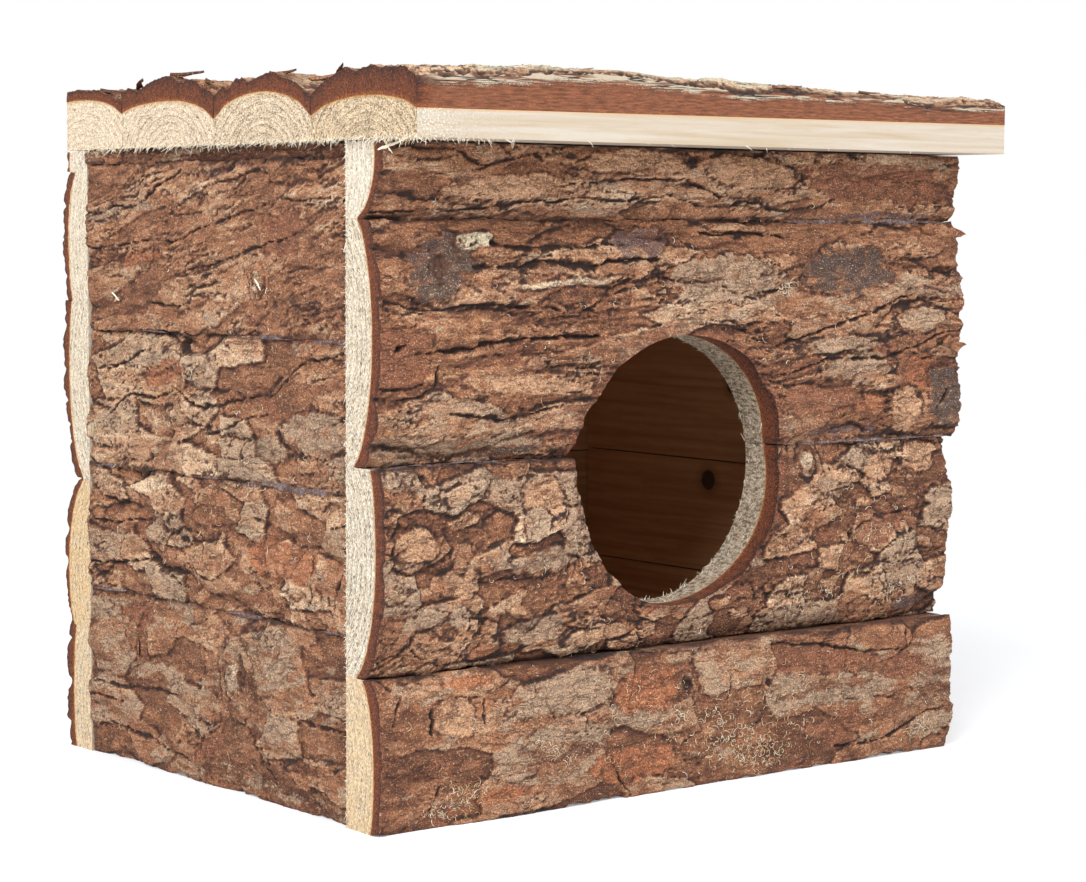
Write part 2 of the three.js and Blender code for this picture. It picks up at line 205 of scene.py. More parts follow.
# What stands out on the bark, in millimetres along the wall and up from the floor, or back from the roof's
# front edge. A crack has its width, its depth and the points that it passes, a knot its middle, radius and
# heart. A patch starts with its finish, and has its middle, half length, half height, turn in degrees and
# rise above the bark.
FRONT_MARKS = [
    ("crack", 0.9, 1.0, (0, 117), (20, 117.6), (45, 119.4), (72, 121)),
    ("crack", 0.9, 0.9, (42, 122), (58, 123.6), (73, 124), (84, 121)),
    ("crack", 0.8, 0.8, (20, 125), (30, 127.6), (40, 129)),
    ("crack", 0.7, 0.7, (70, 121), (80, 119), (92, 119.5), (104, 117.6)),
    ("plum", 130, 117, 21, 0.8, 1, 0.1),
    ("rust", 128, 124, 22, 4.5, -3, -0.2),
    ("tan", 30, 121.5, 16, 2.4, 4, 0.3),
    ("tan", 60, 127, 14, 2.2, 0, 0.35),
    ("tan", 92, 125.5, 12, 3, -6, 0.35),
    ("knot", 13.5, 106.5, 5.4, "dark"),
    ("blue", 14, 106.5, 8.5, 5.5, 20, 0.8),
    ("lichen", 22.5, 111.4, 4.2, 1.9, 8, 0.5),
    ("crack", 2.6, 1.3, (22, 106), (36, 107.5), (52, 106.5), (68, 108)),
    ("crack", 1.8, 1.0, (26, 111), (44, 110), (62, 110.6)),
    ("plum", 63, 111, 7, 3, 10, 0.4),
    ("pale", 45, 103.6, 18, 0.7, 3, 0.4),
    ("grey", 84, 104, 15, 4.6, 2, 0.35),
    ("blue", 119, 105.4, 11.5, 4.8, 2, 0.4),
    ("crack", 1.6, 1.2, (80, 113), (92, 113.4), (101, 112.2)),
    ("tan", 90, 114.4, 8, 0.9, -2, 0.6),
    ("crack", 1.3, 1.1, (98, 90), (112, 93.4), (124, 96), (138, 99.6)),
    ("crack", 1.9, 1.4, (8, 91), (22, 91.4), (38, 93), (52, 93.2)),
    ("crack", 1.2, 1.0, (0, 100.4), (12, 99), (26, 99.6), (44, 98)),
    ("grey", 117, 89.6, 12, 1.7, 2, 0.5),
    ("grey", 140, 94.6, 6.5, 2.6, 4, 0.5),
    ("grey", 121, 85.5, 10, 2.6, 3, 0.45),
    ("orange", 140, 83, 6, 4.6, 10, -0.2),
    ("orange", 126, 77.6, 6, 2.6, 0, -0.2),
    ("tan", 136.6, 75.6, 4.4, 4.8, 0, 0.45),
    ("blue", 148, 78, 5.2, 6.6, 0, 0.6),
    ("crack", 2.4, 1.3, (146, 75), (148.6, 79.4)),
    ("rust", 112, 78.4, 12, 4, 0, -0.25),
    ("plum", 116, 71.6, 14, 1.3, 2, 0.1),
    ("crack", 1.2, 1.0, (100, 84.6), (112, 86.6), (130, 87.4), (151, 92)),
    ("rust", 5, 90, 6.5, 6.5, 0, -0.3),
    ("crack", 3.0, 1.3, (4.4, 91.6), (6.2, 92.6)),
    ("crack", 2.4, 1.1, (12.6, 84), (13.4, 88)),
    ("tan", 35, 84, 15, 2.2, -4, 0.2),
    ("grey", 22, 72.4, 21, 1.8, 1, -0.2),
    ("blue", 30, 71, 12, 1.0, 1, 0.0),
    ("crack", 1.0, 0.9, (0, 84), (10, 84.6)),
    ("crack", 1.0, 0.9, (16, 79), (30, 77.4), (44, 78.6)),
    ("tan", 17.4, 63.4, 3.0, 1.9, 10, 0.5),
    ("tan", 38, 62, 4.6, 4.0, 0, 0.45),
    ("grey", 36, 57, 3, 2.8, 0, 0.4),
    ("tan", 7, 55, 5.4, 3.2, 0, 0.5),
    ("grey", 40, 50, 10, 2.3, 4, 0.5),
    ("tan", 18, 46.6, 4.4, 2.7, 0, 0.5),
    ("grey", 38, 35.8, 8, 2.7, 6, 0.4),
    ("orange", 26, 32.6, 3.8, 1.3, 6, 0.5),
    ("tan", 55, 33.6, 9, 1.8, 4, 0.4),
    ("knot", 109.5, 65.2, 5.2, "pale"),
    ("tan", 131, 63.6, 5.2, 2.6, 4, 0.5),
    ("tan", 143.4, 65, 5.0, 3.4, 0, 0.5),
    ("crack", 2.4, 0.9, (122, 49), (130, 52.6), (137, 53)),
    ("rust", 130, 50.6, 8, 4.4, 12, -0.2),
    ("plum", 143, 33, 6, 1.6, 6, 0.0),
    ("tan", 17.6, 21, 5, 3.4, 0, 0.35),
    ("grey", 44, 22.8, 13.5, 3.8, 4, 0.4),
    ("orange", 21.6, 27.2, 7, 1.3, 2, -0.1),
    ("orange", 66, 21.6, 10, 4.4, 4, -0.2),
    ("orange", 28.5, 5, 7, 1.4, 4, -0.1),
    ("orange", 61, 7, 11.5, 3.6, 0, -0.2),
    ("knot", 76, 21, 2.4, "dark"),
    ("knot", 98, 20, 1.6, "dark"),
    ("crack", 1.2, 1.0, (55.6, 9.6), (58.6, 5), (62.6, 0)),
    ("crack", 0.9, 0.8, (4.4, 26), (3.6, 21)),
    ("crack", 0.9, 0.8, (12.4, 22.6), (12, 17.6)),
    ("crack", 0.8, 0.7, (25.4, 24), (24.8, 19)),
    ("crack", 0.8, 0.7, (13.6, 8.4), (12.8, 3)),
    ("crack", 0.8, 0.7, (88, 22.6), (86.6, 16.6)),
    ("crack", 1.4, 0.7, (138, 28.4), (138.4, 23.6)),
    ("rust", 114, 23, 14, 3, -2, -0.15),
    ("rust", 137, 19.6, 6.6, 2.6, 0, -0.15),
    ("crack", 1.1, 0.9, (100, 28), (112, 26.4), (126, 24), (140, 22.8)),
    ("crack", 1.3, 0.9, (118, 3.4), (132, 4.6), (144, 8), (152, 10)),
    ("grey", 146, 5.6, 6.4, 2.6, 10, 0.3),
    ("rust", 120, 8, 6, 3.6, 20, -0.1),
]
LEFT_MARKS = [
    ("crack", 1.2, 1.0, (0, 116), (20, 119), (32, 124), (36, 126)),
    ("crack", 1.0, 0.9, (0, 109.5), (35, 111.5), (50, 115), (70, 118.5)),
    ("crack", 0.8, 0.8, (56, 121), (60, 124.6), (66, 126), (70, 122.6)),
    ("crack", 0.8, 0.7, (75, 119.5), (95, 119.5)),
    ("crack", 3.0, 1.3, (63, 103.6), (68, 101.6)),
    ("knot", 64.6, 103.4, 4.0, "pale"),
    ("pale", 9.6, 99, 1.6, 0.6, 20, 0.3),
    ("crack", 1.0, 0.8, (24, 98), (40, 98.6)),
    ("grey", 47.6, 95.6, 3, 1.6, 0, 0.3),
    ("rust", 74, 112.6, 7.4, 4.6, 10, -0.15),
    ("orange", 20, 107.4, 9, 1.6, 4, -0.15),
    ("crack", 1.0, 0.8, (40, 106), (58, 108.6), (80, 113)),
    ("crack", 3.4, 1.3, (37, 88), (38.4, 91)),
    ("crack", 1.1, 1.0, (8, 84), (25, 89)),
    ("crack", 1.1, 1.0, (8, 75), (15, 78), (35, 80), (45, 77.5), (70, 81), (80, 88), (95, 90)),
    ("crack", 1.0, 0.9, (44, 72), (56, 74), (70, 77)),
    ("grey", 67, 70, 7.4, 2.9, 10, 0.3),
    ("grey", 85, 74.4, 10, 4.2, 4, 0.35),
    ("crack", 1.8, 1.0, (73, 71), (73.6, 74)),
    ("pale", 3, 70, 2, 1.8, 0, 0.2),
    ("orange", 30, 84, 9, 2.6, 10, -0.15),
    ("crack", 1.1, 1.0, (0, 52), (10, 51.4), (22, 52.4)),
    ("rust", 20, 50, 2.6, 2.6, 0, -0.4),
    ("crack", 0.9, 0.8, (29, 46.6), (31, 51), (37, 52.4), (43, 50), (45, 46)),
    ("orange", 73.6, 48.6, 13, 4.2, -4, -0.25),
    ("crack", 1.2, 1.0, (0, 42), (14, 43), (28, 44.4)),
    ("crack", 1.1, 0.9, (32, 42), (39, 38.4)),
    ("crack", 1.1, 0.9, (82, 40), (85, 50)),
    ("crack", 1.1, 0.9, (90, 40), (93, 46), (96, 52)),
    ("rust", 18, 32, 6.4, 2.4, 0, -0.2),
    ("rust", 19.6, 27, 2.6, 4.6, 0, -0.3),
    ("crack", 1.7, 1.1, (18, 23.6), (18.2, 27.6)),
    ("crack", 1.4, 1.0, (21.6, 22.4), (21.6, 28)),
    ("knot", 56, 23, 7.0, "pale"),
    ("crack", 1.6, 0.6, (0, 15.4), (14, 16.4), (35, 17)),
    ("crack", 1.2, 0.6, (0, 12.6), (12, 12.8)),
    ("crack", 1.2, 0.6, (5, 8), (22, 6.6), (40, 4)),
    ("crack", 1.3, 0.7, (80, 18.6), (95, 17.6)),
    ("crack", 2.0, 0.9, (67.6, 7.6), (69.4, 8)),
    ("crack", 1.0, 0.7, (60, 14), (66, 8), (72, 3)),
    ("rust", 46, 8, 6, 2.2, 30, -0.2),
]
ROOF_MARKS = [
    ("grey", 26, 12, 26, 8, 0, 0.5),
    ("lichen", 62, 4.4, 50, 3.4, 0, 0.3),
    ("pale", 124, 4, 30, 2.4, 0, 0.3),
    ("pale", 80, 40, 50, 5, 2, 0.3),
    ("crack", 0.5, 0.9, (8, 2.0), (30, 3.0), (64, 2.2), (96, 3.6), (130, 2.6)),
    ("pale", 60, 10, 16, 2, 3, 0.3),
    ("crack", 1.6, 1.2, (8, 6), (40, 7.6), (78, 5.6), (110, 8)),
    ("crack", 1.4, 1.2, (30, 17), (66, 16), (98, 20), (140, 18)),
    ("blue", 120, 16, 11, 4, 8, 0.5),
    ("knot", 46, 52, 5, "pale"),
    ("orange", 70, 46, 16, 3, 4, -0.3),
    ("knot", 112, 88, 4.4, "dark"),
    ("orange", 34, 90, 13, 4, -6, -0.3),
    ("pale", 22, 62, 12, 1.4, 6, 0.4),
]
BACK_MARKS = [
    ("knot", 38, 42, 5, "pale"),
    ("knot", 104, 86, 4, "dark"),
    ("orange", 80, 46, 14, 4, 6, -0.25),
    ("blue", 120, 108, 10, 5, 0, 0.5),
    ("crack", 1.3, 1.0, (10, 112), (50, 116), (90, 113), (130, 118)),
    ("crack", 1.3, 1.0, (20, 76), (60, 80), (110, 74), (150, 78)),
]
RIGHT_MARKS = [
    ("knot", 62, 24, 5, "pale"),
    ("orange", 30, 50, 11, 4, 0, -0.25),
    ("crack", 1.2, 1.0, (4, 84), (40, 88), (70, 84), (94, 88)),
    ("crack", 1.2, 1.0, (0, 110), (34, 114), (70, 112), (95, 118)),
]
MARKS = {
    "front": FRONT_MARKS,
    "left": LEFT_MARKS,
    "roof": ROOF_MARKS,
    "back": BACK_MARKS,
    "right": RIGHT_MARKS,
}

# How square a patch is: 2 would make it an oval
PATCH_SQUARENESS = 2.4
FINISHES = ("tan", "rust", "orange", "grey", "blue", "pale", "plum", "lichen")

# Glue pressed out of the joints: the wall, the joint's height, the stretches where it shows, each with how
# far it reaches up and down in millimetres, and the bead's node
GLUE_LINES = [
    ("left", 36.3, ((2, 13, 1.0), (52, 64, 1.1), (84, 94, 0.6)), "left_glue_bead_1"),
    ("left", 63.1, ((0, 10, 1.0), (40, 50, 0.8), (58, 90, 1.5)), "left_glue_bead_2"),
    ("left", 92.2, ((20, 30, 0.5), (58, 75, 1.0), (82, 96, 1.1)), "left_glue_bead_3"),
    ("front", 69.1, ((0, 40, 0.5), (104, 151, 0.9)), "front_glue_bead_1"),
    ("front", 115.7, ((104, 124, 0.9), (126, 151, 1.2)), "front_glue_bead_2"),
]

# Tufts of torn fibres on the bark of two walls: the middle along and up the wall, how far they spread along
# and up, how many fibres there are and their length
TUFTS = {
    "front": [
        (20, 5, 5, 3.5, 60, 1.1),
        (13, 3, 4, 1.6, 40, 1.0),
        (41, 12, 4, 3, 24, 1.1),
        (72, 15, 8, 6, 40, 1.0),
        (88, 9, 11, 8, 150, 1.1),
        (95, 5, 8, 5, 90, 1.0),
        (104, 12, 12, 9, 60, 1.0),
        (142, 5, 6, 3, 30, 1.0),
        (110, 36, 6, 4, 40, 1.1),
        (118, 38, 6, 4, 30, 1.1),
        (136, 36, 6, 4, 40, 1.1),
        (102, 102, 3, 1.6, 24, 1.1),
        (60, 50, 30, 14, 90, 0.9),
        (128, 50, 20, 14, 110, 0.9),
        (70, 100, 60, 26, 110, 0.9),
        (76, 16, 70, 12, 200, 1.0),
    ],
    "left": [
        (3, 70, 1.8, 3.2, 60, 1.3),
        (66, 103, 6, 4, 16, 0.9),
        (50, 60, 46, 52, 200, 0.9),
    ],
}

# Splinters and loose flakes: their two ends as a place along and up a wall, or along and back on the roof,
# and how far off the bark they stand there, then their width, their thickness and their colour
SPLINTERS = [
    ("front", (-1.4, 128.2, 0.9), (3.8, 130.2, 2.2), 0.6, 0.4, "fibre"),
    ("front", (0.2, 130.0, 0.6), (1.6, 127.6, 1.0), 0.45, 0.3, "fibre"),
    ("front", (142.6, 113.8, 0.2), (153.4, 113.2, 1.6), 3.6, 0.7, "bark"),
    ("front", (147.0, 89.6, 0.2), (153.2, 89.0, 1.2), 2.4, 0.6, "bark"),
    ("front", (19, 72, 0.1), (24, 74.6, 0.7), 1.1, 0.4, "bark"),
    ("left", (62.6, 104.6, 0.1), (66.2, 101.2, 0.6), 0.7, 0.4, "bark"),
    ("left", (64.6, 103.8, 0.2), (67.0, 101.6, 0.8), 0.45, 0.3, "fibre"),
    ("left", (8.4, 100.0, 0.1), (10.8, 98.2, 0.5), 0.4, 0.3, "fibre"),
    ("left", (17.6, 28.6, 0.1), (18.2, 22.4, 0.5), 0.6, 0.3, "bark"),
    ("roof", (3, 102.6, 0.2), (12, 106.4, 2.2), 1.6, 0.6, "bark"),
    ("roof", (1.4, 96.2, 0.2), (10.4, 92.8, 1.9), 1.5, 0.6, "bark"),
    ("roof", (1.0, 73.4, 0.2), (12.6, 70.0, 2.2), 1.9, 0.7, "bark"),
    ("roof", (3.0, 66.2, 0.2), (11.0, 62.2, 1.9), 1.5, 0.6, "bark"),
    ("roof", (0.6, 116.0, 0.0), (3.4, 109.0, 1.6), 1.5, 0.8, "dark"),
    ("roof", (2.6, 104.0, 0.0), (0.6, 98.4, 1.9), 1.4, 0.8, "dark"),
    ("roof", (1.2, 88.0, 0.1), (4.6, 80.6, 2.0), 1.8, 0.8, "dark"),
    ("roof", (3.6, 78.0, 0.0), (0.8, 70.6, 1.8), 1.3, 0.7, "dark"),
    ("roof", (1.2, 52.0, 0.0), (4.2, 45.6, 1.5), 1.5, 0.7, "dark"),
    ("roof", (2.2, 30.0, 0.0), (0.6, 24.4, 1.2), 1.3, 0.7, "dark"),
    ("roof", (6, 44, 0.2), (18, 46.6, 1.4), 1.6, 0.5, "bark"),
    ("roof", (4, 20, 0.1), (24, 21.4, 0.8), 1.2, 0.5, "bark"),
    ("roof", (34, 7.6, 0.1), (46, 6.2, 0.5), 1.0, 0.5, "bark"),
    ("roof", (88.4, 1.6, 0.1), (95.6, 0.6, 0.6), 1.1, 0.5, "bark"),
    ("roof", (112.6, 1.6, 0.1), (117.4, 0.4, 0.8), 1.3, 0.5, "bark"),
]

# The sawn ends: how torn and how creamy each slab's are, where that is not plain
SAWN_ENDS = {
    ("front", 1): (-0.02, 0.8),
    ("front", 2): (0.02, 0.1),
    ("front", 3): (0.01, 0.15),
    ("front", 4): (-0.04, 0.0),
    ("back", 1): (-0.03, 0.7),
    ("back", 2): (-0.03, 1.0),
    ("back", 4): (-0.04, 0.2),
    ("back", 5): (-0.04, 0.1),
    ("roof", 1): (0.028, 0.5),
    ("roof", 2): (0.012, 0.2),
    ("roof", 3): (-0.02, 0.1),
    ("roof", 4): (-0.06, 0.0),
}

# Knots in the sawn faces inside, in the house's own millimetres: the middle and the radius
INSIDE_KNOTS = [
    ((61.3, 9.8, 55.2), 2.6),
    ((61.3, 1.5, 78.0), 2.2),
    ((-63.0, 20.0, 44.0), 2.8),
    ((-20.0, 54.95, 82.0), 3.0),
    ((30.0, -42.05, 20.0), 2.4),
    ((-30.0, 20.0, 130.3), 3.2),
    ((34.0, -18.0, 130.3), 2.6),
]


def colour(name, text, red, green, blue):
    """A colour property, written as it shows on a screen, from 0 to 255."""
    linear = [((c / 255 + 0.055) / 1.055) ** 2.4 if c > 10 else c / 255 / 12.92 for c in (red, green, blue)]
    return FloatVectorProperty(name=name, description=text, default=linear, subtype="COLOR", size=3, min=0,
                               max=1)


def length(name, text, millimetres):
    """A length property with its default in millimetres."""
    return FloatProperty(name=name, description=text, default=millimetres * MM, unit="LENGTH", precision=5)


class HouseSizes(bpy.types.PropertyGroup):
    """Sizes of the detail on the slabs."""

    front_step: length("Front mesh step", "Distance between the points of the front wall's bark", 0.31)
    left_step: length("Left mesh step", "Distance between the points of the left wall's bark", 0.36)
    other_step: length("Other mesh step", "Distance between the points of the bark elsewhere", 0.62)
    ragged_end: length("Ragged end", "How far the bark breaks back from a sawn end", 1.1)
    fibre_length: length("Fibre length", "Usual length of a saw fibre", 1.0)


class BarkColours(bpy.types.PropertyGroup):
    """Colours of the bark."""

    dark: colour("Dark", "Shaded, weathered bark", 100, 58, 36)
    brown: colour("Brown", "Most of the bark", 158, 106, 73)
    tan: colour("Tan", "Weathered plates", 194, 150, 115)
    # Also the top of the tone scale, which the painted highlights on the lips of flakes and cracks reach
    bleached_and_highlit: colour("Bleached", "Edges of the flakes", 226, 194, 160)
    rust: colour("Rust", "Inner bark where flakes came off", 138, 84, 58)
    orange: colour("Orange", "Fresh inner bark", 170, 104, 68)
    grey: colour("Grey", "Weathered outer bark", 172, 144, 118)
    blue: colour("Blue grey", "Knots and stained bark", 64, 56, 54)
    pale: colour("Pale", "Torn fibres", 216, 194, 164)
    plum: colour("Plum", "Stain along the glued joints", 104, 84, 84)
    lichen: colour("Lichen", "Dry lichen", 214, 202, 172)
    # Also the lighter step of the painted shade in cracks, hollows, under flake edges and along joints
    lines: colour("Lines", "Thin cracks and the edges of the flakes", 88, 52, 36)
    # The darkest step of the painted shade in cracks, hollows, under flake edges and along joints
    crevice_and_shade: colour("Crevice", "Bottom of the cracks", 46, 29, 22)
    section_inner: colour("Section inside", "Sawn bark next to the wood", 168, 94, 46)
    section: colour("Section", "Sawn bark", 113, 58, 33)
    section_dark: colour("Section outside", "Sawn bark near its surface", 74, 37, 26)
    section_long: colour("Section along", "Sawn bark along the roof's front edge", 140, 86, 58)
    crust: colour("Crust", "Pale layers in the sawn bark along the roof's front edge", 212, 197, 172)


class WoodColours(bpy.types.PropertyGroup):
    """Colours of the sawn wood, the glue and the fibres."""

    early: colour("Early wood", "Light part of the growth rings", 246, 237, 219)
    roof_end: colour("Roof ends", "Light part of the growth rings in the roof's ends", 247, 228, 202)
    creamy: colour("Creamy wood", "Growth rings in the creamier ends", 240, 206, 158)
    late: colour("Late wood", "Dark part of the growth rings", 204, 168, 118)
    fleck: colour("Fleck", "Torn ends of the grain", 120, 98, 70)
    cambium: colour("Cambium", "Yellow edge under the bark", 214, 160, 84)
    face: colour("Sawn face", "Wood sawn along the grain", 198, 187, 172)
    face_streak: colour("Face streak", "Darker streaks along the grain", 184, 164, 136)
    # A warmer, darker copy of the sawn face for the faces inside: partly the wood's own colour, partly
    # painted shade and warm bounce light
    inside: colour("Inside face", "Wood sawn along the grain, inside", 212, 160, 110)
    inside_streak: colour("Inside streak", "Darker streaks inside", 186, 130, 82)
    rim: colour("Rim", "Rough sawn wood round the entrance", 236, 212, 184)
    knot: colour("Knot", "Knots in the sawn faces", 58, 34, 22)
    fibre: colour("Fibre", "Torn saw fibres", 250, 240, 218)
    glue: colour("Glue", "Dried glue", 112, 100, 104)
    floor: colour("Floor", "Floor and backdrop", 240, 241, 244)


def sizes():
    return bpy.context.scene.house_sizes


def bark_colours():
    return bpy.context.scene.bark_colours


def wood_colours():
    return bpy.context.scene.wood_colours


# Patterns

def hashed(i, j, seed):
    """A number from 0 to 1 for every whole i and j."""
    mask = 0xFFFFFFFF
    n = (i.astype(np.int64) * 374761393 + j.astype(np.int64) * 668265263 + int(seed) * 974711) & mask
    n = ((n ^ (n >> 13)) * 1274126177) & mask
    n = ((n ^ (n >> 15)) * 1103515245) & mask
    return ((n ^ (n >> 16)) & 0xFFFFFF) / 0xFFFFFF


def noise(u, v, seed):
    """Smooth bumps, about one in each unit square, from about -1 to 1."""
    i, j = np.floor(u), np.floor(v)
    f, g = u - i, v - j

    def corner(di, dj):
        turn = 2 * np.pi * hashed(i + di, j + dj, seed)
        return np.cos(turn) * (f - di) + np.sin(turn) * (g - dj)

    s = f * f * f * (f * (f * 6 - 15) + 10)
    t = g * g * g * (g * (g * 6 - 15) + 10)
    low = corner(0, 0) * (1 - s) + corner(1, 0) * s
    high = corner(0, 1) * (1 - s) + corner(1, 1) * s
    return 1.5 * (low * (1 - t) + high * t)


def fractal(u, v, seed, octaves, fall=1.8):
    """Noise with finer and finer layers on it, from about -1 to 1. A smaller fall makes it rougher."""
    total, most = 0, 0
    for k in range(octaves):
        total = total + noise(u * 2**k, v * 2**k, seed + 17 * k) / fall**k
        most += 1 / fall ** (2 * k)
    return total / most**0.5


def smooth(x, low, high):
    """0 below low, 1 above high, and an even turn between them."""
    t = np.clip((x - low) / (high - low), 0, 1)
    return t * t * (3 - 2 * t)


def bell(away, reach):
    """1 where away is 0, falling off like a bell over that reach."""
    return np.exp(-((away / reach) ** 2))


def blurred(field, reach):
    """The mean of a field over about reach steps each way."""
    for axis in (0, 1):
        for _ in range(2):
            pad = [(reach + 1, reach) if k == axis else (0, 0) for k in (0, 1)]
            run = np.cumsum(np.pad(field, pad, mode="edge"), axis=axis)
            ahead = np.take(run, range(2 * reach + 1, run.shape[axis]), axis=axis)
            behind = np.take(run, range(0, run.shape[axis] - 2 * reach - 1), axis=axis)
            field = (ahead - behind) / (2 * reach + 1)
    return field


def plates(u, v, size, seed):
    """Splits the bark into plates. Gives each point three numbers of its own plate, three of the plate next
    to it, how far it is from the edge between them, and its place in its own plate."""
    x, y = u / size[0], v / size[1]
    cells = np.array([(np.floor(x) + di, np.floor(y) + dj) for di in (-1, 0, 1) for dj in (-1, 0, 1)])
    middles = [cells[:, k] + 0.5 + 0.85 * (hashed(cells[:, 0], cells[:, 1], seed + k) - 0.5) for k in (0, 1)]
    away = (x - middles[0]) ** 2 + (y - middles[1]) ** 2
    ranks = np.argsort(away, axis=0)[:2]
    numbers, places, reach = [], [], []
    for rank in ranks[:, None]:
        cell = [np.take_along_axis(cells[:, k], rank, 0)[0] for k in (0, 1)]
        numbers.append([hashed(*cell, seed + k) for k in (2, 3, 4)])
        places.append([np.take_along_axis(middles[k], rank, 0)[0] for k in (0, 1)])
        reach.append(np.take_along_axis(away, rank, 0)[0])
    pull = np.hypot((places[1][0] - places[0][0]) / size[0], (places[1][1] - places[0][1]) / size[1])
    edge = (reach[1] - reach[0]) / (2 * pull + 1e-6)
    return *numbers, edge, (u - places[0][0] * size[0], v - places[0][1] * size[1])


def layers(field, step, riser):
    """Breaks a smooth field into overlapping layers of one unit. Gives their height, which layer shows, how
    far each point is from the edge of its own layer, and how close it is to the foot of the next layer."""
    level = np.floor(field)
    part = field - level
    slope = np.hypot(*np.gradient(field, step)) + 1e-4
    inside = part / slope
    outside = (1 - part) / slope
    height = level + smooth(inside, 0, riser) - field
    return height, level, inside, outside


class Slab:
    """One half-round slab of the house: its place, its thickness and the map of its bark."""

    def __init__(self, side, number):
        self.side, self.number = side, number
        self.node = f"{side}_slab_{number}"
        low, high = (np.array(corner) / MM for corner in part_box(f"{self.node}_wood"))
        self.directions = np.array(DIRECTIONS[side], float)
        sign = self.directions.sum(0)
        self.corner = np.where(sign > 0, low, high)
        self.length, self.width = ((high - low) @ np.abs(self.directions[k]) for k in (0, 1))
        self.base = float(self.corner[2]) if side != "roof" else float(self.corner[1] - CAD_BOX[0][1] / MM)
        wood, bark, self.low, self.high, self.peak = SLAB_SHARES[side][number - 1]
        usual = ROOF_THICKNESSES if side == "roof" else WALL_THICKNESSES
        self.wood = [share * usual[0] for share in wood]
        self.bark = [share * usual[1] for share in bark]
        self.seed = 1000 * (1 + list(DIRECTIONS).index(side)) + 100 * number
        self.style = {**PLAIN_BARK, **BARKS.get((side, number), {})}
        # The entrance goes through these, and this one is sawn along the roof's front edge
        self.entered = side == "front" and number in (2, 3)
        self.edged = side == "roof" and number == 1
        self.map = None

    def place(self, along, across, out):
        """The metres in the house of distances along, across and out from the slab's sawn face."""
        distances = np.stack(np.broadcast_arrays(along, across, out), -1)
        return (self.corner + distances @ self.directions) * MM

    def wood_at(self, u, v):
        """Thickness of the wood."""
        share, across = np.clip(u / self.length, 0, 1), np.clip(v / self.width, 0, 1)
        rising = across < self.peak
        reach = np.where(rising, (self.peak - across) / self.peak, (across - self.peak) / (1 - self.peak))
        ends = [np.where(rising, self.low[k], self.high[k]) for k in (0, 1)]
        edge = ends[0] + (ends[1] - ends[0]) * share
        rounded = np.maximum(0, 1 - reach**2) ** ROUNDNESS
        return (self.wood[0] + (self.wood[1] - self.wood[0]) * share) * (edge + (1 - edge) * rounded)

    def from_entrance(self, u, v):
        """How far a place is outside the entrance's edge. It is below 0 inside the entrance."""
        return np.hypot(u - ENTRANCE[0], v + self.base - ENTRANCE[1]) - ENTRANCE[2]

    def core_at(self, u, v):
        """Thickness of the wood as it looks: round the entrance the bark goes deeper."""
        wood = self.wood_at(u, v)
        if not self.entered:
            return wood
        rim = self.from_entrance(u, v)
        return wood - np.clip(wood - RIM_WOOD, 0, RIM_DEPTH) * smooth(RIM_REACH + 1 - rim, 0, RIM_REACH)

    def swing(self, u, v):
        """The broad and the fine waves of the bark, and the phase of this slab's furrows."""
        phase = 2 * np.pi * 0.618 * self.number
        broad = np.sin(2 * np.pi * (u + 1.7 * v) / 64 + phase)
        fine = np.sin(2 * np.pi * (u - 1.7 * v) / 23 + 2 * phase)
        return broad, fine, phase

    def bark_thickness(self, u):
        """Thickness of the bark, which changes evenly from end to end."""
        return self.bark[0] + (self.bark[1] - self.bark[0]) * u / self.length

    def bark_at(self, u, v):
        """The bark's mean outer surface, as the CAD has it, without the furrows."""
        broad, fine, _ = self.swing(u, v)
        return self.wood_at(u, v) + self.bark_thickness(u) + 0.3 * (0.6 * broad + 0.4 * fine)

    def furrow_turn(self, u, v):
        """Where a place lies among the furrows, which run where this is a whole number of half turns."""
        broad, fine, phase = self.swing(u, v)
        climb = v - self.style["tilt"] * u + FURROW_SWAY * broad + FURROW_FINE_SWAY * fine
        return np.pi * climb / FURROW_GAP + phase

    def bark_map(self):
        """The detail of the bark on a grid of points, made once."""
        if self.map is None:
            self.map = BarkMap(self)
        return self.map

    def surface(self, u, v):
        """The bark's real outer surface, with its detail."""
        detail = self.bark_map().sample("height", u, v)
        return np.maximum(self.bark_at(u, v) + detail + self.swell(u, v), self.core_at(u, v) + THINNEST_BARK)

    def swell(self, u, v):
        """How much thicker the bark looks than the CAD's: at the left wall's rear, and on the roof's front
        edge."""
        if self.side == "left":
            return REAR_SWELL * (1 - smooth(u, 0, SWELL_REACH))
        if self.edged:
            more = EDGE_SWELL_MORE * np.exp(-(((u - EDGE_SWELL_MIDDLE) / EDGE_SWELL_HALF) ** 2))
            return (EDGE_SWELL + more) * (1 - smooth(v, 0, SWELL_REACH))
        return 0 * u


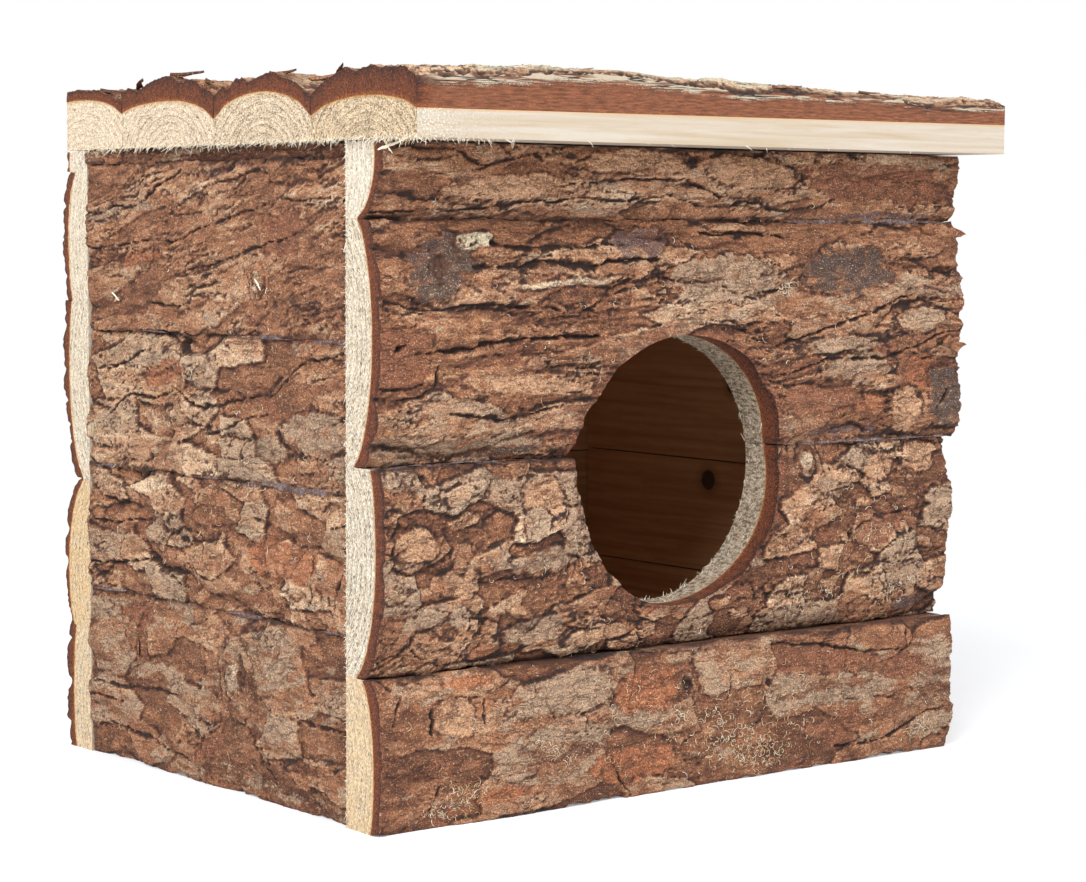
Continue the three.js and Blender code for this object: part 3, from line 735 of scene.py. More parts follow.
class BarkMap:
    """Relief and finishes of one slab's bark, on a grid with a point every 0.25 or 0.4 mm."""

    def __init__(self, slab):
        self.slab = slab
        self.step = 0.25 if slab.side in ("front", "left") else 0.4
        self.u, self.v = np.meshgrid(np.arange(0, slab.length + 2 * self.step, self.step),
                                     np.arange(0, slab.width + 2 * self.step, self.step), indexing="ij")
        self.fields = {name: np.zeros(self.u.shape) for name in FINISHES + ("height", "crevice_and_shade", "tone")}
        u, v, s = self.u, self.v, slab.seed
        self.bend = [fractal(u / 14, v / 9, s + 1, 6, 1.65) * 1.9,
                     fractal(u / 15, v / 9, s + 11, 6, 1.65) * 1.15]
        self.rough = 0.85 * fractal(u / 3.6, v / 2.6, s + 80, 4, 1.5)
        self.grow()
        for kind, *rest in MARKS[slab.side]:
            if kind in FINISHES:
                self.add_patch(kind, *rest)
            else:
                getattr(self, "add_" + kind)(*rest)
        self.settle()

    def sample(self, name, u, v):
        """The field's value at any place, between the points of the grid."""
        field = self.fields[name]
        x = np.clip(u / self.step, 0, field.shape[0] - 1.001)
        y = np.clip(v / self.step, 0, field.shape[1] - 1.001)
        i, j = x.astype(int), y.astype(int)
        f, g = x - i, y - j
        low = field[i, j] * (1 - f) + field[i + 1, j] * f
        high = field[i, j + 1] * (1 - f) + field[i + 1, j + 1] * f
        return low * (1 - g) + high * g

    def grow(self):
        """Furrows, flakes, plates, fibres and colours all over the slab."""
        f, style, s = self.fields, self.slab.style, self.slab.seed
        u, v = self.u + self.bend[0], self.v + self.bend[1]
        lively = smooth(fractal(self.u / 26, self.v / 12, s + 10, 2) + style["lively"], -0.4, 0.4)
        # The edge field is a painted highlight along the lips of flakes, plates and cracks
        f["edge"] = np.zeros(u.shape)
        self.furrow(u, v, lively)
        tilted = v - style["tilt"] * self.u
        long, wide = style["island_size"]
        stands = self.islands(u, tilted, (long, wide), style["cover"], 0.9 * style["island"], s + 90)
        small = self.islands(u, tilted, (0.45 * long, 0.45 * wide), 0.6 * style["cover"],
                             0.4 * style["island"], s + 95)
        stands = np.maximum(stands, 0.6 * small)
        long, wide = style["flake_size"]
        level = self.flakes(u / long, tilted / wide, s + 20, 1.3 * style["flake"], 0.35 + 0.65 * lively, 0.6)
        self.flakes(u / long * 2.3, tilted / wide * 1.9, s + 30, 0.75 * style["flake"], 0.15 + 0.85 * lively,
                    0.42)
        self.flakes(u / long * 5.5, v / wide * 3.8, s + 35, 0.34 * style["flake"], 0.35 + 0.65 * lively,
                    0.25)
        own = self.plate_edges(u, v, lively)
        threads = self.fibres()
        pimples = 0.06 * noise(u / 0.9, v / 0.8, s + 63)
        f["height"] += pimples + 0.03 * noise(self.u / 0.55, self.v / 0.5, s + 64)
        zone = fractal(u / 30, v / 7, s + 70, 5, 1.5)
        f["tone"] += 0.42 + 0.3 * zone + 0.25 * noise(13.7 * level + u / 40, 5.1 * level, s + 71)
        f["tone"] += style["island"] * (0.5 * stands - 0.3)
        f["tone"] += 0.35 * (own - 0.5) * style["plate"] + 0.3 * threads * style["fibre"] - style["shade"]
        for name, seed, usual, strong in (
            ("rust", 72, 0.32, 0.8),
            ("grey", 74, 0.4, 0.8),
            ("orange", 73, 0.62, 0.5),
        ):
            spread = fractal(u / 22 + 3.1 * level, v / 6, s + seed, 5, 1.5)
            low = usual - style["grey" if name == "grey" else "rust"]
            low += 0.45 * style["island"] * (stands - 0.35) * (-1 if name == "grey" else 1)
            f[name] += strong * smooth(spread, low, low + 0.5)
        f["pale"] += 0.7 * smooth(threads, 0.5, 1.2) * smooth(fractal(u / 12, v / 4, s + 75, 3), 0.1, 0.6)
        # Painted shade along the joints between slabs
        joint = np.minimum(self.v, np.maximum(self.slab.width - self.v, 0))
        f["crevice_and_shade"] += (0.55 + 0.5 * noise(self.u / 9, 0.5 + 0 * self.u, s + 76)) * np.exp(-joint / 0.5)
        end = np.minimum(self.u, np.maximum(self.slab.length - self.u, 0)) + 0.8 * self.rough
        f["rust"] += 0.55 * np.exp(-np.maximum(end, 0) / 2.0)
        f["tone"] -= 0.3 * np.exp(-np.maximum(end, 0) / 2.5)

    def furrow(self, u, v, lively):
        """The long furrows of the CAD model with torn sides, and shorter cracks between them."""
        f, style, s = self.fields, self.slab.style, self.slab.seed
        side = np.abs(np.sin(self.slab.furrow_turn(u, v)))
        f["height"] += style["furrow"] * self.slab.bark_thickness(self.u) * (side - 2 / np.pi)
        torn = fractal(u / 7, v / 3, s + 50, 4, 1.5)
        away = side * FURROW_GAP / np.pi
        wide = np.maximum(0.04, 0.16 + 0.62 * torn)
        kept = smooth(fractal(u / 21, v / 9, s + 51, 3, 1.6), -0.2, 0.4)
        cut = kept * bell(away, wide)
        f["height"] -= 1.1 * style["furrow"] * cut
        # Painted shade in the furrows
        f["crevice_and_shade"] += min(1.0, 2.4 * style["furrow"]) * cut
        gap = style["line_gap"]
        run = v / gap + 0.8 * fractal(u / 38, v / (2.0 * gap), s + 52, 3)
        nearest = np.round(run)
        apart = np.abs(run - nearest) * gap
        kept = smooth(noise(u / 15 + 7.3 * nearest, nearest * 3.1, s + 53), 0.0, 0.4)
        wide = np.maximum(0.03, 0.1 + 0.38 * torn)
        cut = kept * bell(apart, wide)
        f["height"] += style["line"] * (0.3 * kept * np.exp(-apart / 1.4) - 0.9 * cut)
        # Painted shade in the cracks, and a painted highlight along their lips
        f["crevice_and_shade"] += min(1.0, 1.4 * style["line"]) * cut
        f["edge"] += 0.4 * kept * np.exp(-(((apart - wide - 0.3) / 0.3) ** 2))

    def islands(self, u, v, size, share, rise, seed):
        """Plates of older, paler bark that still stand on the redder bark. Gives 1 on them and 0 beside
        them."""
        f = self.fields
        own, other, edge, away = plates(u, v, size, seed)
        there, beyond = own[0] < share, other[0] < share
        grown = (own[1] + other[1]) % 1 > 0.4
        edge = np.where(there, np.where(beyond & grown, 9, edge), -edge) + 0.3 * self.rough
        stands = smooth(edge, -0.08, 0.2)
        # Painted shade at the foot of the standing plates, and a painted highlight along their edges
        beside = np.exp(-np.clip(-edge, 0, 9) / 0.35) * (edge < 0.1) * (there | beyond)
        slope = stands * 0.06 * (own[1] - 0.5) * away[1]
        f["height"] += rise * (stands * (0.55 + 0.45 * own[2]) + slope - 0.2 * beside)
        f["crevice_and_shade"] += min(1.0, 2 * rise) * beside * (0.6 + 0.6 * self.rough)
        f["edge"] += min(1.0, rise) * stands * np.exp(-np.clip(edge, 0, 9) / 0.35)
        f["tone"] += 0.5 * rise * stands * (own[2] - 0.5)
        f["grey"] += 0.75 * rise * stands * (own[1] > 0.6)
        return stands

    def flakes(self, x, y, seed, rise, share, reach):
        """Flakes that overlap like torn shingles, with painted shade under their edges and a painted
        highlight on their lips. Gives the number of the flake that shows."""
        f = self.fields
        up, level, inside, outside = layers(fractal(x, y, seed, 6, 1.55) * 1.6, self.step, 0.3)
        deep = share * smooth(fractal(x * 1.3, y * 1.3, seed + 7, 3, 1.6), -0.6, 0.2)
        f["height"] += rise * deep * (1.4 * up + 0.3 * np.exp(-inside / 0.7))
        wide = np.maximum(0.08, reach * (0.5 + 0.9 * self.rough))
        # Painted shade at the foot of the next flake, and a painted highlight on the lip of this one
        f["crevice_and_shade"] += deep * np.exp(-((outside / wide) ** 1.5)) * min(1.0, 2.6 * rise)
        f["edge"] += deep * np.exp(-inside / 0.4) * min(1.0, 2 * rise)
        return level

    def plate_edges(self, u, v, lively):
        """Plates with open joints here and there. Gives each point one of its plate's own numbers."""
        f, style, s = self.fields, self.slab.style, self.slab.seed
        own, _, edge, away = plates(u, v, style["plate_size"], s + 40)
        open_edge = smooth(fractal(u / 9, v / 5, s + 44, 3, 1.5), -0.2, 0.35) * (0.3 + 0.7 * lively)
        wide = np.maximum(0.05, 0.2 + 0.4 * self.rough)
        groove = bell(edge, wide) * open_edge
        slope = 0.04 * (own[1] - 0.5) * away[0]
        f["height"] += style["plate"] * (0.55 * (own[0] - 0.5) + slope - groove)
        # Painted shade in the open joints, and a painted highlight beside them
        f["crevice_and_shade"] += min(1.0, 1.5 * style["plate"]) * groove
        f["edge"] += 0.5 * style["plate"] * open_edge * np.exp(-(((edge - wide - 0.25) / 0.25) ** 2))
        return own[2]

    def fibres(self):
        """Threads that run along the slab. Gives how far each point stands on a thread, from about -1 to
        1."""
        f, style, s = self.fields, self.slab.style, self.slab.seed
        tilt = style["tilt"] * self.u
        u, v = self.u + 0.4 * self.bend[0], self.v + 0.6 * self.bend[1] - tilt
        here = smooth(fractal(u / 24, v / 8, s + 60, 2), -0.45, 0.45)
        threads = noise(u / 9, v / 0.9, s + 61) + 0.7 * noise(u / 4.5, v / 0.5, s + 62)
        f["height"] += 0.17 * style["fibre"] * (0.25 + here) * threads
        return threads * (0.3 + 0.7 * here)

    def near(self, low_u, high_u, low_v, high_v):
        """The part of the grid round some places, given from the floor up, or nothing if they are off this
        slab."""
        base, step = self.slab.base, self.step
        first = [max(0, int((low_u - 6) / step)), max(0, int((low_v - base - 5) / step))]
        last = [min(self.u.shape[0], int((high_u + 6) / step)),
                min(self.u.shape[1], int((high_v - base + 5) / step))]
        if first[0] >= last[0] or first[1] >= last[1]:
            return None
        return slice(first[0], last[0]), slice(first[1], last[1])

    def places(self, part, bend):
        """Places in that part of the grid, from the floor up, shifted so that no line is straight."""
        return (self.u[part] + bend * self.bend[0][part],
                self.v[part] + bend * self.bend[1][part] + self.slab.base)

    def add_crack(self, wide, deep, *points):
        """A crack through points, wide and deep as given, with its lips a little raised."""
        part = self.near(min(p[0] for p in points), max(p[0] for p in points),
                         min(p[1] for p in points), max(p[1] for p in points))
        if part is None:
            return
        f = self.fields
        x, y = self.places(part, 0.9)
        away, ahead = np.full(x.shape, 99.0), np.zeros(x.shape)
        for k, ((u0, v0), (u1, v1)) in enumerate(zip(points, points[1:])):
            du, dv = u1 - u0, v1 - v0
            share = np.clip(((x - u0) * du + (y - v0) * dv) / (du * du + dv * dv), 0, 1)
            apart = np.hypot(x - u0 - share * du, y - v0 - share * dv)
            ahead = np.where(apart < away, (k + share) / (len(points) - 1), ahead)
            away = np.minimum(away, apart)
        taper = 0.35 + 0.65 * np.sin(np.pi * np.clip(ahead, 0.08, 0.92))
        reach = wide * taper * np.maximum(0.06, 0.2 + 0.4 * self.rough[part])
        cut = np.exp(-((away / np.maximum(reach, 0.1)) ** 2))
        f["height"][part] += 0.25 * deep * np.exp(-away / (1.2 + wide)) - 1.1 * deep * cut
        # Painted shade in the crack, and a painted highlight along its lips
        f["crevice_and_shade"][part] += 0.95 * cut
        f["edge"][part] += 0.4 * np.exp(-(((away - reach - 0.3) / 0.25) ** 2))

    def add_patch(self, finish, u, v, half_long, half_high, turn, rise):
        """A patch of one finish with a ragged edge, above or below the bark round it."""
        part = self.near(u - half_long, u + half_long, v - half_long, v + half_long)
        if part is None:
            return
        f = self.fields
        x, y = self.places(part, 0.5)
        rough = self.rough[part]
        c, s = math.cos(math.radians(turn)), math.sin(math.radians(turn))
        x, y = x - u, y - v
        long, high = np.abs((x * c + y * s) / half_long), np.abs((y * c - x * s) / half_high)
        out = (long**PATCH_SQUARENESS + high**PATCH_SQUARENESS) ** (1 / PATCH_SQUARENESS)
        edge = (1 - out + 0.32 * rough) * min(half_high, half_long)
        inside = smooth(edge, -0.15, 0.4)
        for name in FINISHES:
            f[name][part] *= 1 - 0.8 * inside
        f[finish][part] += inside * (0.72 + 0.4 * rough)
        f["crevice_and_shade"][part] *= 1 - 0.5 * inside
        f["height"][part] *= 1 - 0.3 * smooth(edge, 0, 0.8)
        f["height"][part] += rise * smooth(edge, -0.1, 0.3)
        # Painted shade along the foot of the patch's step
        outline = np.exp(-(((edge + 0.15 * np.sign(rise)) / 0.2) ** 2)) * smooth(rough, -0.3, 0.1)
        f["crevice_and_shade"][part] += outline * min(1, 2.5 * abs(rise))

    def add_knot(self, u, v, radius, core):
        """A grown-over branch with broken rings of bark round it."""
        part = self.near(u - 2 * radius, u + 2 * radius, v - 2 * radius, v + 2 * radius)
        if part is None:
            return
        f = self.fields
        x, y = self.places(part, 0.75)
        rough = self.rough[part]
        away = np.hypot(x - u, (y - v) * 0.8 + 0.12 * (x - u))
        near = smooth(radius * 1.8 - away, 0, radius)
        ring = np.sin(away * 2 * np.pi / (radius * 0.36) + 3.2 * rough)
        broken = smooth(noise(x / (0.9 * radius), y / (0.9 * radius), self.slab.seed + 85), -0.5, 0.4)
        mound = 0.4 - 0.4 * away / radius + 0.22 * ring
        f["height"][part] = f["height"][part] * (1 - 0.6 * near) + near * mound
        f["crevice_and_shade"][part] *= 1 - 0.8 * near
        # Painted shade in the troughs between the broken rings
        f["crevice_and_shade"][part] += near * 0.8 * broken * smooth(-ring, 0.5, 0.95)
        heart = smooth(radius * 0.4 - away + 0.25 * radius * rough, -0.25, 0.3)
        for name in FINISHES:
            f[name][part] *= 1 - 0.6 * near
        f["grey"][part] += 0.35 * near * (1 - heart)
        if core == "pale":
            f["pale"][part] += 0.6 * heart
            f["height"][part] += 0.5 * heart
            f["crevice_and_shade"][part] *= 1 - heart
        else:
            f["crevice_and_shade"][part] += 0.7 * heart
            f["height"][part] -= 0.8 * heart
        f["crevice_and_shade"][part] += 0.8 * np.exp(-(((away - radius * 0.5) / 0.3) ** 2)) * broken

    def settle(self):
        """Keeps the relief within its bounds, paints shade on what lies low and light on what stands high.
        """
        f = self.fields
        height = f["height"]
        height -= np.mean(height)
        soft = np.where(height > 0.7, 0.7 + 0.5 * (height - 0.7), height)
        f["height"] = height = soft.clip(LOWEST_RELIEF, HIGHEST_RELIEF)
        if self.slab.entered:
            rim = np.abs(self.slab.from_entrance(self.u, self.v))
            f["rust"] += 0.75 * bell(rim, 2.2)
            f["tone"] -= 0.5 * np.exp(-rim / 1.2)
        # Painted shade: the bark is darkened where its relief lies below the relief round it
        hollow_shade = np.clip(blurred(height, 2) - height, 0, 1)
        deep = np.clip(blurred(height, 10) - height, 0, 2)
        f["crevice_and_shade"] = np.clip(f["crevice_and_shade"] * 0.8 + 1.2 * hollow_shade + 0.3 * deep - 0.05, 0, 1.2)
        # Painted light and shade: raised relief paler, low relief darker, edge field's painted highlights
        # paler
        f["tone"] += 0.35 * (height - blurred(height, 8)) + 0.4 * f["edge"]
        f["tone"] = np.clip(f["tone"], -0.4, 1.5)


SLABS = [Slab(side, k + 1) for side in DIRECTIONS for k in range(len(SLAB_SHARES[side]))]


# Meshes

def lattice(along, across, out, fine=1):
    """A closed block from 0 to 1 each way, in steps. All but its inner side is then cut fine times finer."""
    bm = bmesh.new()
    bmesh.ops.create_cube(bm, size=1.0, matrix=Matrix.Translation((0.5, 0.5, 0.5)))
    for edge in bm.edges:
        edge.smooth = False
    for axis, steps in enumerate((along, across, out)):
        if steps > 1:
            bmesh.ops.subdivide_edges(bm, edges=[e for e in bm.edges if runs(e, axis)], cuts=steps - 1,
                                      use_grid_fill=True)
    for edge in bm.edges:
        edge.smooth = edge.calc_face_angle(0) < 1
    if fine > 1:
        outer = [e for e in bm.edges if not runs(e, 2) and min(v.co.z for v in e.verts) > 0.001]
        bmesh.ops.subdivide_edges(bm, edges=outer, cuts=fine - 1, use_grid_fill=True)
    return bm


def runs(edge, axis):
    """True if an edge of a lattice runs along that axis."""
    return abs(edge.verts[0].co[axis] - edge.verts[1].co[axis]) > 1e-6


def new_piece(name, bm):
    """An object made from a bmesh, in the scene."""
    mesh = bpy.data.meshes.new(name)
    bm.to_mesh(mesh)
    bm.free()
    piece = bpy.data.objects.new(name, mesh)
    bpy.context.scene.collection.objects.link(piece)
    return piece


def read(data, key, width):
    """The values of a mesh's vertices or faces as rows."""
    values = np.empty(len(data) * width, np.float32)
    data.foreach_get(key, values)
    return values.reshape(-1, width).astype(float)


def write_places(mesh, places):
    """Moves the mesh's vertices to those places, in metres."""
    mesh.vertices.foreach_set("co", places.astype(np.float32).ravel())
    mesh.update()


def write_attribute(mesh, name, values):
    """Stores one number or one vector for each vertex."""
    kind, key = ("FLOAT", "value") if values.ndim == 1 else ("FLOAT_VECTOR", "vector")
    mesh.attributes.new(name, kind, "POINT").data.foreach_set(key, values.astype(np.float32).ravel())


def outlines(slab, step, fine):
    """The slab's two long edges: for each station along it, where the low and the high edge are. Stations
    come in whole numbers of fine, and the edge on the joint follows the entrance where the slab has it."""
    def spread(start, end):
        count = fine * max(1, round(abs(end - start) / step / fine))
        return np.linspace(start, end, count + 1)[:-1]

    if not slab.entered:
        along = np.append(spread(0, slab.length), slab.length)
        return (along, along * 0), (along, along * 0 + slab.width)
    middle, up, radius = ENTRANCE
    joint = slab.base + slab.width if slab.number == 2 else slab.base
    lift = math.asin((joint - up) / radius)
    start, end = (math.pi - lift, 2 * math.pi + lift) if slab.number == 2 else (math.pi - lift, lift)
    turns = np.linspace(start, end, fine * round(abs(end - start) * radius / step / fine) + 1)
    arc = middle + radius * np.cos(turns), up + radius * np.sin(turns) - slab.base
    if slab.number == 3:
        along = np.concatenate([spread(0, arc[0][0]), arc[0][:-1], spread(arc[0][-1], slab.length),
                                [slab.length]])
        cut = np.concatenate([spread(0, arc[0][0]) * 0, arc[1][:-1], spread(arc[0][-1], slab.length) * 0,
                              [0]])
        return (along, cut), (along, along * 0 + slab.width)
    # Where the arc turns back under the joint, the low edge goes on outwards at the mesh's own step
    over = np.maximum(0, np.maximum(math.pi - turns, turns - 2 * math.pi)) * radius
    flat = np.where(over > 0, middle + np.sign(arc[0] - middle) * (radius + over), arc[0])
    before = np.linspace(0, 1, fine * round(arc[0][0] / step / fine) + 1)[:-1]
    after = np.linspace(0, 1, fine * round((slab.length - arc[0][-1]) / step / fine) + 1)
    high = np.concatenate([before * arc[0][0], arc[0][:-1], arc[0][-1] + after * (slab.length - arc[0][-1])])
    low = np.concatenate([before * flat[0], flat[:-1], flat[-1] + after * (slab.length - flat[-1])])
    cut = np.concatenate([before * 0 + slab.width, arc[1][:-1], after * 0 + slab.width])
    return (low, low * 0), (high, cut)


def stations(slab, lattice_places, low, high):
    """Distances along and across the slab for every vertex of a lattice."""
    i = np.rint(lattice_places[:, 0] * (len(low[0]) - 1)).astype(int)
    b = lattice_places[:, 1]
    u = low[0][i] + (high[0][i] - low[0][i]) * b
    v = low[1][i] + (high[1][i] - low[1][i]) * b
    return u, v


def sides_of(mesh):
    """For each face of a lattice: 0 inner, 1 outer, 2 the sawn ends, 3 the long edges."""
    middles = read(mesh.polygons, "center", 3)
    side = np.full(len(middles), 3)
    side[(middles[:, 0] < 1e-5) | (middles[:, 0] > 1 - 1e-5)] = 2
    side[middles[:, 2] < 1e-5] = 0
    side[middles[:, 2] > 1 - 1e-5] = 1
    return side


def paint(mesh, materials, which=None):
    """Gives each face the material with its number, or all of them the first."""
    which = np.zeros(len(mesh.polygons)) if which is None else which
    for material in materials:
        mesh.materials.append(material)
    mesh.polygons.foreach_set("material_index", which.astype(np.int32))
    mesh.polygons.foreach_set("use_smooth", np.ones(len(which), bool))


def wander(slab, u, v):
    """How far the bark's surface reaches over the slab's joints, so that none is a straight open line."""
    last = len(SLAB_SHARES[slab.side])
    shift = np.zeros(len(u))
    for number, away, sign in ((slab.number - 1, v, -1), (slab.number, slab.width - v, 1)):
        if 0 < number < last:
            seed = 5000 + 100 * list(DIRECTIONS).index(slab.side) + number
            line = 0.75 * fractal(u / 11, 0.5 + 0 * u, seed, 4, 1.5)
            shift += (line + 0.13 * sign) * np.exp(-np.maximum(away, 0) / 1.4)
    if slab.number == 1 and slab.side != "roof":
        line = fractal(u / 8, 0.5 + 0 * u, slab.seed + 97, 4, 1.5)
        shift += 1.1 * np.maximum(0, line) * np.exp(-np.maximum(v, 0) / 1.2)
    if slab.entered:
        rim = slab.from_entrance(u, v)
        shift *= smooth(rim, 0.3, 3)
    return shift


def seam_closed(slab, u, v):
    """How far the wood reaches over its joints next to a sawn end, where the glue is squeezed out."""
    last = len(SLAB_SHARES[slab.side])
    near = np.exp(-np.maximum(np.minimum(u, slab.length - u), 0) / 2)
    if slab.entered:
        near += np.exp(-np.abs(slab.from_entrance(u, v)) / 1.5)
    low = (slab.number > 1) * np.exp(-np.maximum(v, 0) / 0.4)
    high = (slab.number < last) * np.exp(-np.maximum(slab.width - v, 0) / 0.4)
    return 0.145 * np.minimum(near, 1) * (high - low)


def bark_piece(slab):
    """The bark of one slab, with every flake, crack and patch in its mesh."""
    step = {"front": sizes().front_step, "left": sizes().left_step}.get(slab.side, sizes().other_step) / MM
    low, high = outlines(slab, step, BARK_FINENESS)
    lengthwise = (len(low[0]) - 1) // BARK_FINENESS
    across = max(2, round(slab.width / step / BARK_FINENESS))
    piece = new_piece(f"{slab.side}_bark_{slab.number}",
                      lattice(lengthwise, across, BARK_LAYERS, BARK_FINENESS))
    mesh = piece.data
    places = read(mesh.vertices, "co", 3)
    side = sides_of(mesh)
    u, v = stations(slab, places, low, high)
    a, _, c = places.T
    v = v + c * wander(slab, u, v)
    s = slab.seed
    wood, outer = slab.core_at(u, v), slab.surface(u, v)
    thick = outer - wood
    at_end = (a < 1e-6) | (a > 1 - 1e-6)
    ragged = sizes().ragged_end / MM
    torn = np.maximum(0, noise(v / 3.1, a * 9, s + 90) + 0.5 * noise(v / 0.9, a * 9, s + 91)) * ragged * c**2
    torn = torn * np.where(a < 0.5, 0.25, 1)
    fuzz = 0.12 * noise(v / 0.5, c * thick / 0.5, s + 92)
    away_from_end = np.minimum(u, slab.length - u)
    torn_share = np.clip(1 - away_from_end / 2.2, 0, 1) ** 2
    inward = np.where(u < slab.length / 2, 1, -1)
    u = u + inward * (torn * torn_share + np.where(at_end, np.abs(fuzz) * c, 0))
    if slab.entered:
        rim = slab.from_entrance(u, v)
        broken = np.clip(1 - rim / 1.0, 0, 1) ** 2
        wear = 0.35 + 0.5 * noise(u / 2.4, v / 2.4, s + 93)
        thick = thick * (1 - 0.08 * broken * np.clip(wear, 0, 1))
    out = wood + thick * c
    write_places(mesh, slab.place(u, v, out))
    write_attribute(mesh, "slab", np.stack([u + s, v, out], -1))
    write_attribute(mesh, "layer", c)
    height = slab.bark_map()
    for name in FINISHES + ("crevice_and_shade", "tone"):
        write_attribute(mesh, name, height.sample(name, u, v))
    write_attribute(mesh, "long", slab.edged * (v < 0.5) * smooth(u, 0.2, 6))
    natural = (side == 1) | ((side == 3) & ~rim_faces(slab, mesh) & (not slab.edged))
    paint(mesh, [bark_material(), bark_section_material()], np.where(natural, 0, 1))
    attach(piece, BODY)
    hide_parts(f"{slab.node}_bark")


def wood_piece(slab):
    """The sawn wood of one slab."""
    low, high = outlines(slab, 0.9 if slab.entered else 3.0, 1)
    piece = new_piece(f"{slab.side}_wood_{slab.number}",
                      lattice(len(low[0]) - 1, max(4, round(slab.width / 0.8)), 12))
    mesh = piece.data
    places = read(mesh.vertices, "co", 3)
    side = sides_of(mesh)
    u, v = stations(slab, places, low, high)
    a, _, c = places.T
    v = v + seam_closed(slab, u, v)
    s = slab.seed
    wood = slab.core_at(u, v)
    end = np.where(a < 1e-6, 1, np.where(a > 1 - 1e-6, -1, 0))
    u = u + end * (0.1 + 0.1 * noise(v / 0.9, c * wood / 0.9, s + 95))
    out = wood * c
    if slab.entered:
        at_rim = slab.from_entrance(u, v) < 0.2
        v = v + 0.12 * noise(u / 1.1 + v, out / 1.1, s + 96) * at_rim * np.clip(c * 3, 0, 1)
    write_places(mesh, slab.place(u, v, out))
    write_attribute(mesh, "slab", np.stack([u + s, v, out], -1))
    pith = slab.peak * slab.width, -4 if slab.side == "roof" else -14
    ring = np.hypot((v - pith[0]) * 0.8, out - pith[1])
    arc = (8 - pith[1]) * np.arctan2((v - pith[0]) * 0.8, out - pith[1])
    write_attribute(mesh, "rings", np.stack([arc + s, ring, u], -1))
    write_attribute(mesh, "under_bark", wood - out)
    torn, creamy = SAWN_ENDS.get((slab.side, slab.number), (-0.02, 0.2))
    write_attribute(mesh, "torn", np.full(len(u), torn))
    write_attribute(mesh, "frayed", slab.edged * np.exp(-np.maximum(u - 3, 0) / 7))
    write_attribute(mesh, "creamy", np.full(len(u), creamy))
    middles = read(mesh.polygons, "center", 3) / MM
    room = (side == 0) & (np.abs(middles[:, 0]) < 70) & (middles[:, 1] > -50) & (middles[:, 1] < 60)
    rim = (side == 3) & slab.entered & rim_faces(slab, mesh)
    wane = (side == 3) & ~rim & ((slab.side != "roof") | (np.abs(middles[:, 1] - CAD_BOX[0][1] / MM) > 0.5))
    which = np.select([side == 2, rim, room, wane], [1, 2, 3, 4], 0)
    tints = wood_colours()
    if slab.side == "roof":
        end_grain = end_grain_material("Roof end grain", tints.roof_end, (2.0, 3.0, 0.5), 0.6)
    else:
        end_grain = end_grain_material("End grain", tints.early, (1.1, 3.4, 0.5), 0.62)
    # Faces inside the house get a warmer, darker copy of the sawn face, partly painted shade
    paint(mesh, [sawn_face_material("Sawn face", tints.face, tints.face_streak), end_grain, rim_material(),
                 sawn_face_material("Shaded room face", tints.inside, tints.inside_streak), bark_material()], which)
    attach(piece, BODY)
    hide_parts(f"{slab.node}_wood")


def slab_at(side, across):
    """The slab that lies at that height of a wall, or that far back on the roof."""
    return next(slab for slab in SLABS if slab.side == side and across < slab.base + slab.width + 0.3)


def on_bark(side, along, across, off):
    """Places in millimetres in the house, a little off the bark at those distances along and across a
    side."""
    places = np.empty((len(along), 3))
    for k in range(len(along)):
        slab = slab_at(side, across[k])
        u, v = np.clip(along[k], 0, slab.length), np.clip(across[k] - slab.base, 0, slab.width)
        out = float(slab.surface(np.array([u]), np.array([v]))[0]) + off[k]
        places[k] = slab.place(along[k], across[k] - slab.base, out) / MM
    return places


def glue_piece(side, height, stretches, node):
    """Dried glue along one joint: flat, wavy lumps that fill the groove between two slabs and lap onto their
    bark."""
    below = slab_at(side, height - 1)
    above = slab_at(side, height + 1)
    bm = bmesh.new()
    for k, (start, end, _) in enumerate(stretches):
        steps = round((end - start) / 0.4)
        cube = bmesh.ops.create_cube(bm, size=1.0, matrix=Matrix.Translation((0.5 + 2 * k, 0.5, 0.5)))
        edges = list({edge for vert in cube["verts"] for edge in vert.link_edges})
        lengthwise = [edge for edge in edges if runs(edge, 0)]
        bmesh.ops.subdivide_edges(bm, edges=lengthwise, cuts=steps - 1, use_grid_fill=True)
    crosswise = [edge for edge in bm.edges if runs(edge, 1)]
    bmesh.ops.subdivide_edges(bm, edges=crosswise, cuts=9, use_grid_fill=True)
    piece = new_piece(f"{node}_smear", bm)
    mesh = piece.data
    places = read(mesh.vertices, "co", 3)
    which = (places[:, 0] / 2).astype(int)
    a, b, c = places[:, 0] - 2 * which, 2 * places[:, 1] - 1, places[:, 2]
    starts, ends, reaches = np.array(stretches).T
    u = starts[which] + (ends - starts)[which] * a
    seed = int(10 * height)
    taper = np.sin(np.pi * np.clip(a, 0.004, 0.996)) ** 0.35
    wavy = np.clip(0.75 + 0.7 * fractal(u / 7, u * 0, seed, 3, 1.5), 0.2, 1.5)
    reach = 0.65 * reaches[which] * taper * wavy
    up = height + 0.35 * noise(u / 9, u * 0, seed + 5) + reach * b * (1 + 0.3 * noise(u / 2.2, b, seed + 6))
    low = below.surface(u, np.clip(up - below.base, 0, below.width))
    high = above.surface(u, np.clip(up - above.base, 0, above.width))
    bark = np.where(up < below.base + below.width, low, high)
    edges = np.minimum(below.surface(u, np.clip(height - reach - below.base, 0, below.width)),
                       above.surface(u, np.clip(height + reach - above.base, 0, above.width)))
    round_top = (1 - b * b) * taper
    lumps = 0.3 * round_top * (1 + 0.4 * noise(u / 1.3, b * 1.5, seed + 7))
    film = np.maximum(bark, edges) + lumps - 0.12 * np.abs(b) ** 3
    out = np.where(c > 0.5, film, np.minimum(bark, film) - 0.5 - 1.2 * round_top)
    write_places(mesh, below.place(u, up - below.base, out))
    write_attribute(mesh, "slab", np.stack([u + seed, up, out], -1))
    paint(mesh, [glue_material()])
    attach(piece, BODY)
    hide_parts(node)


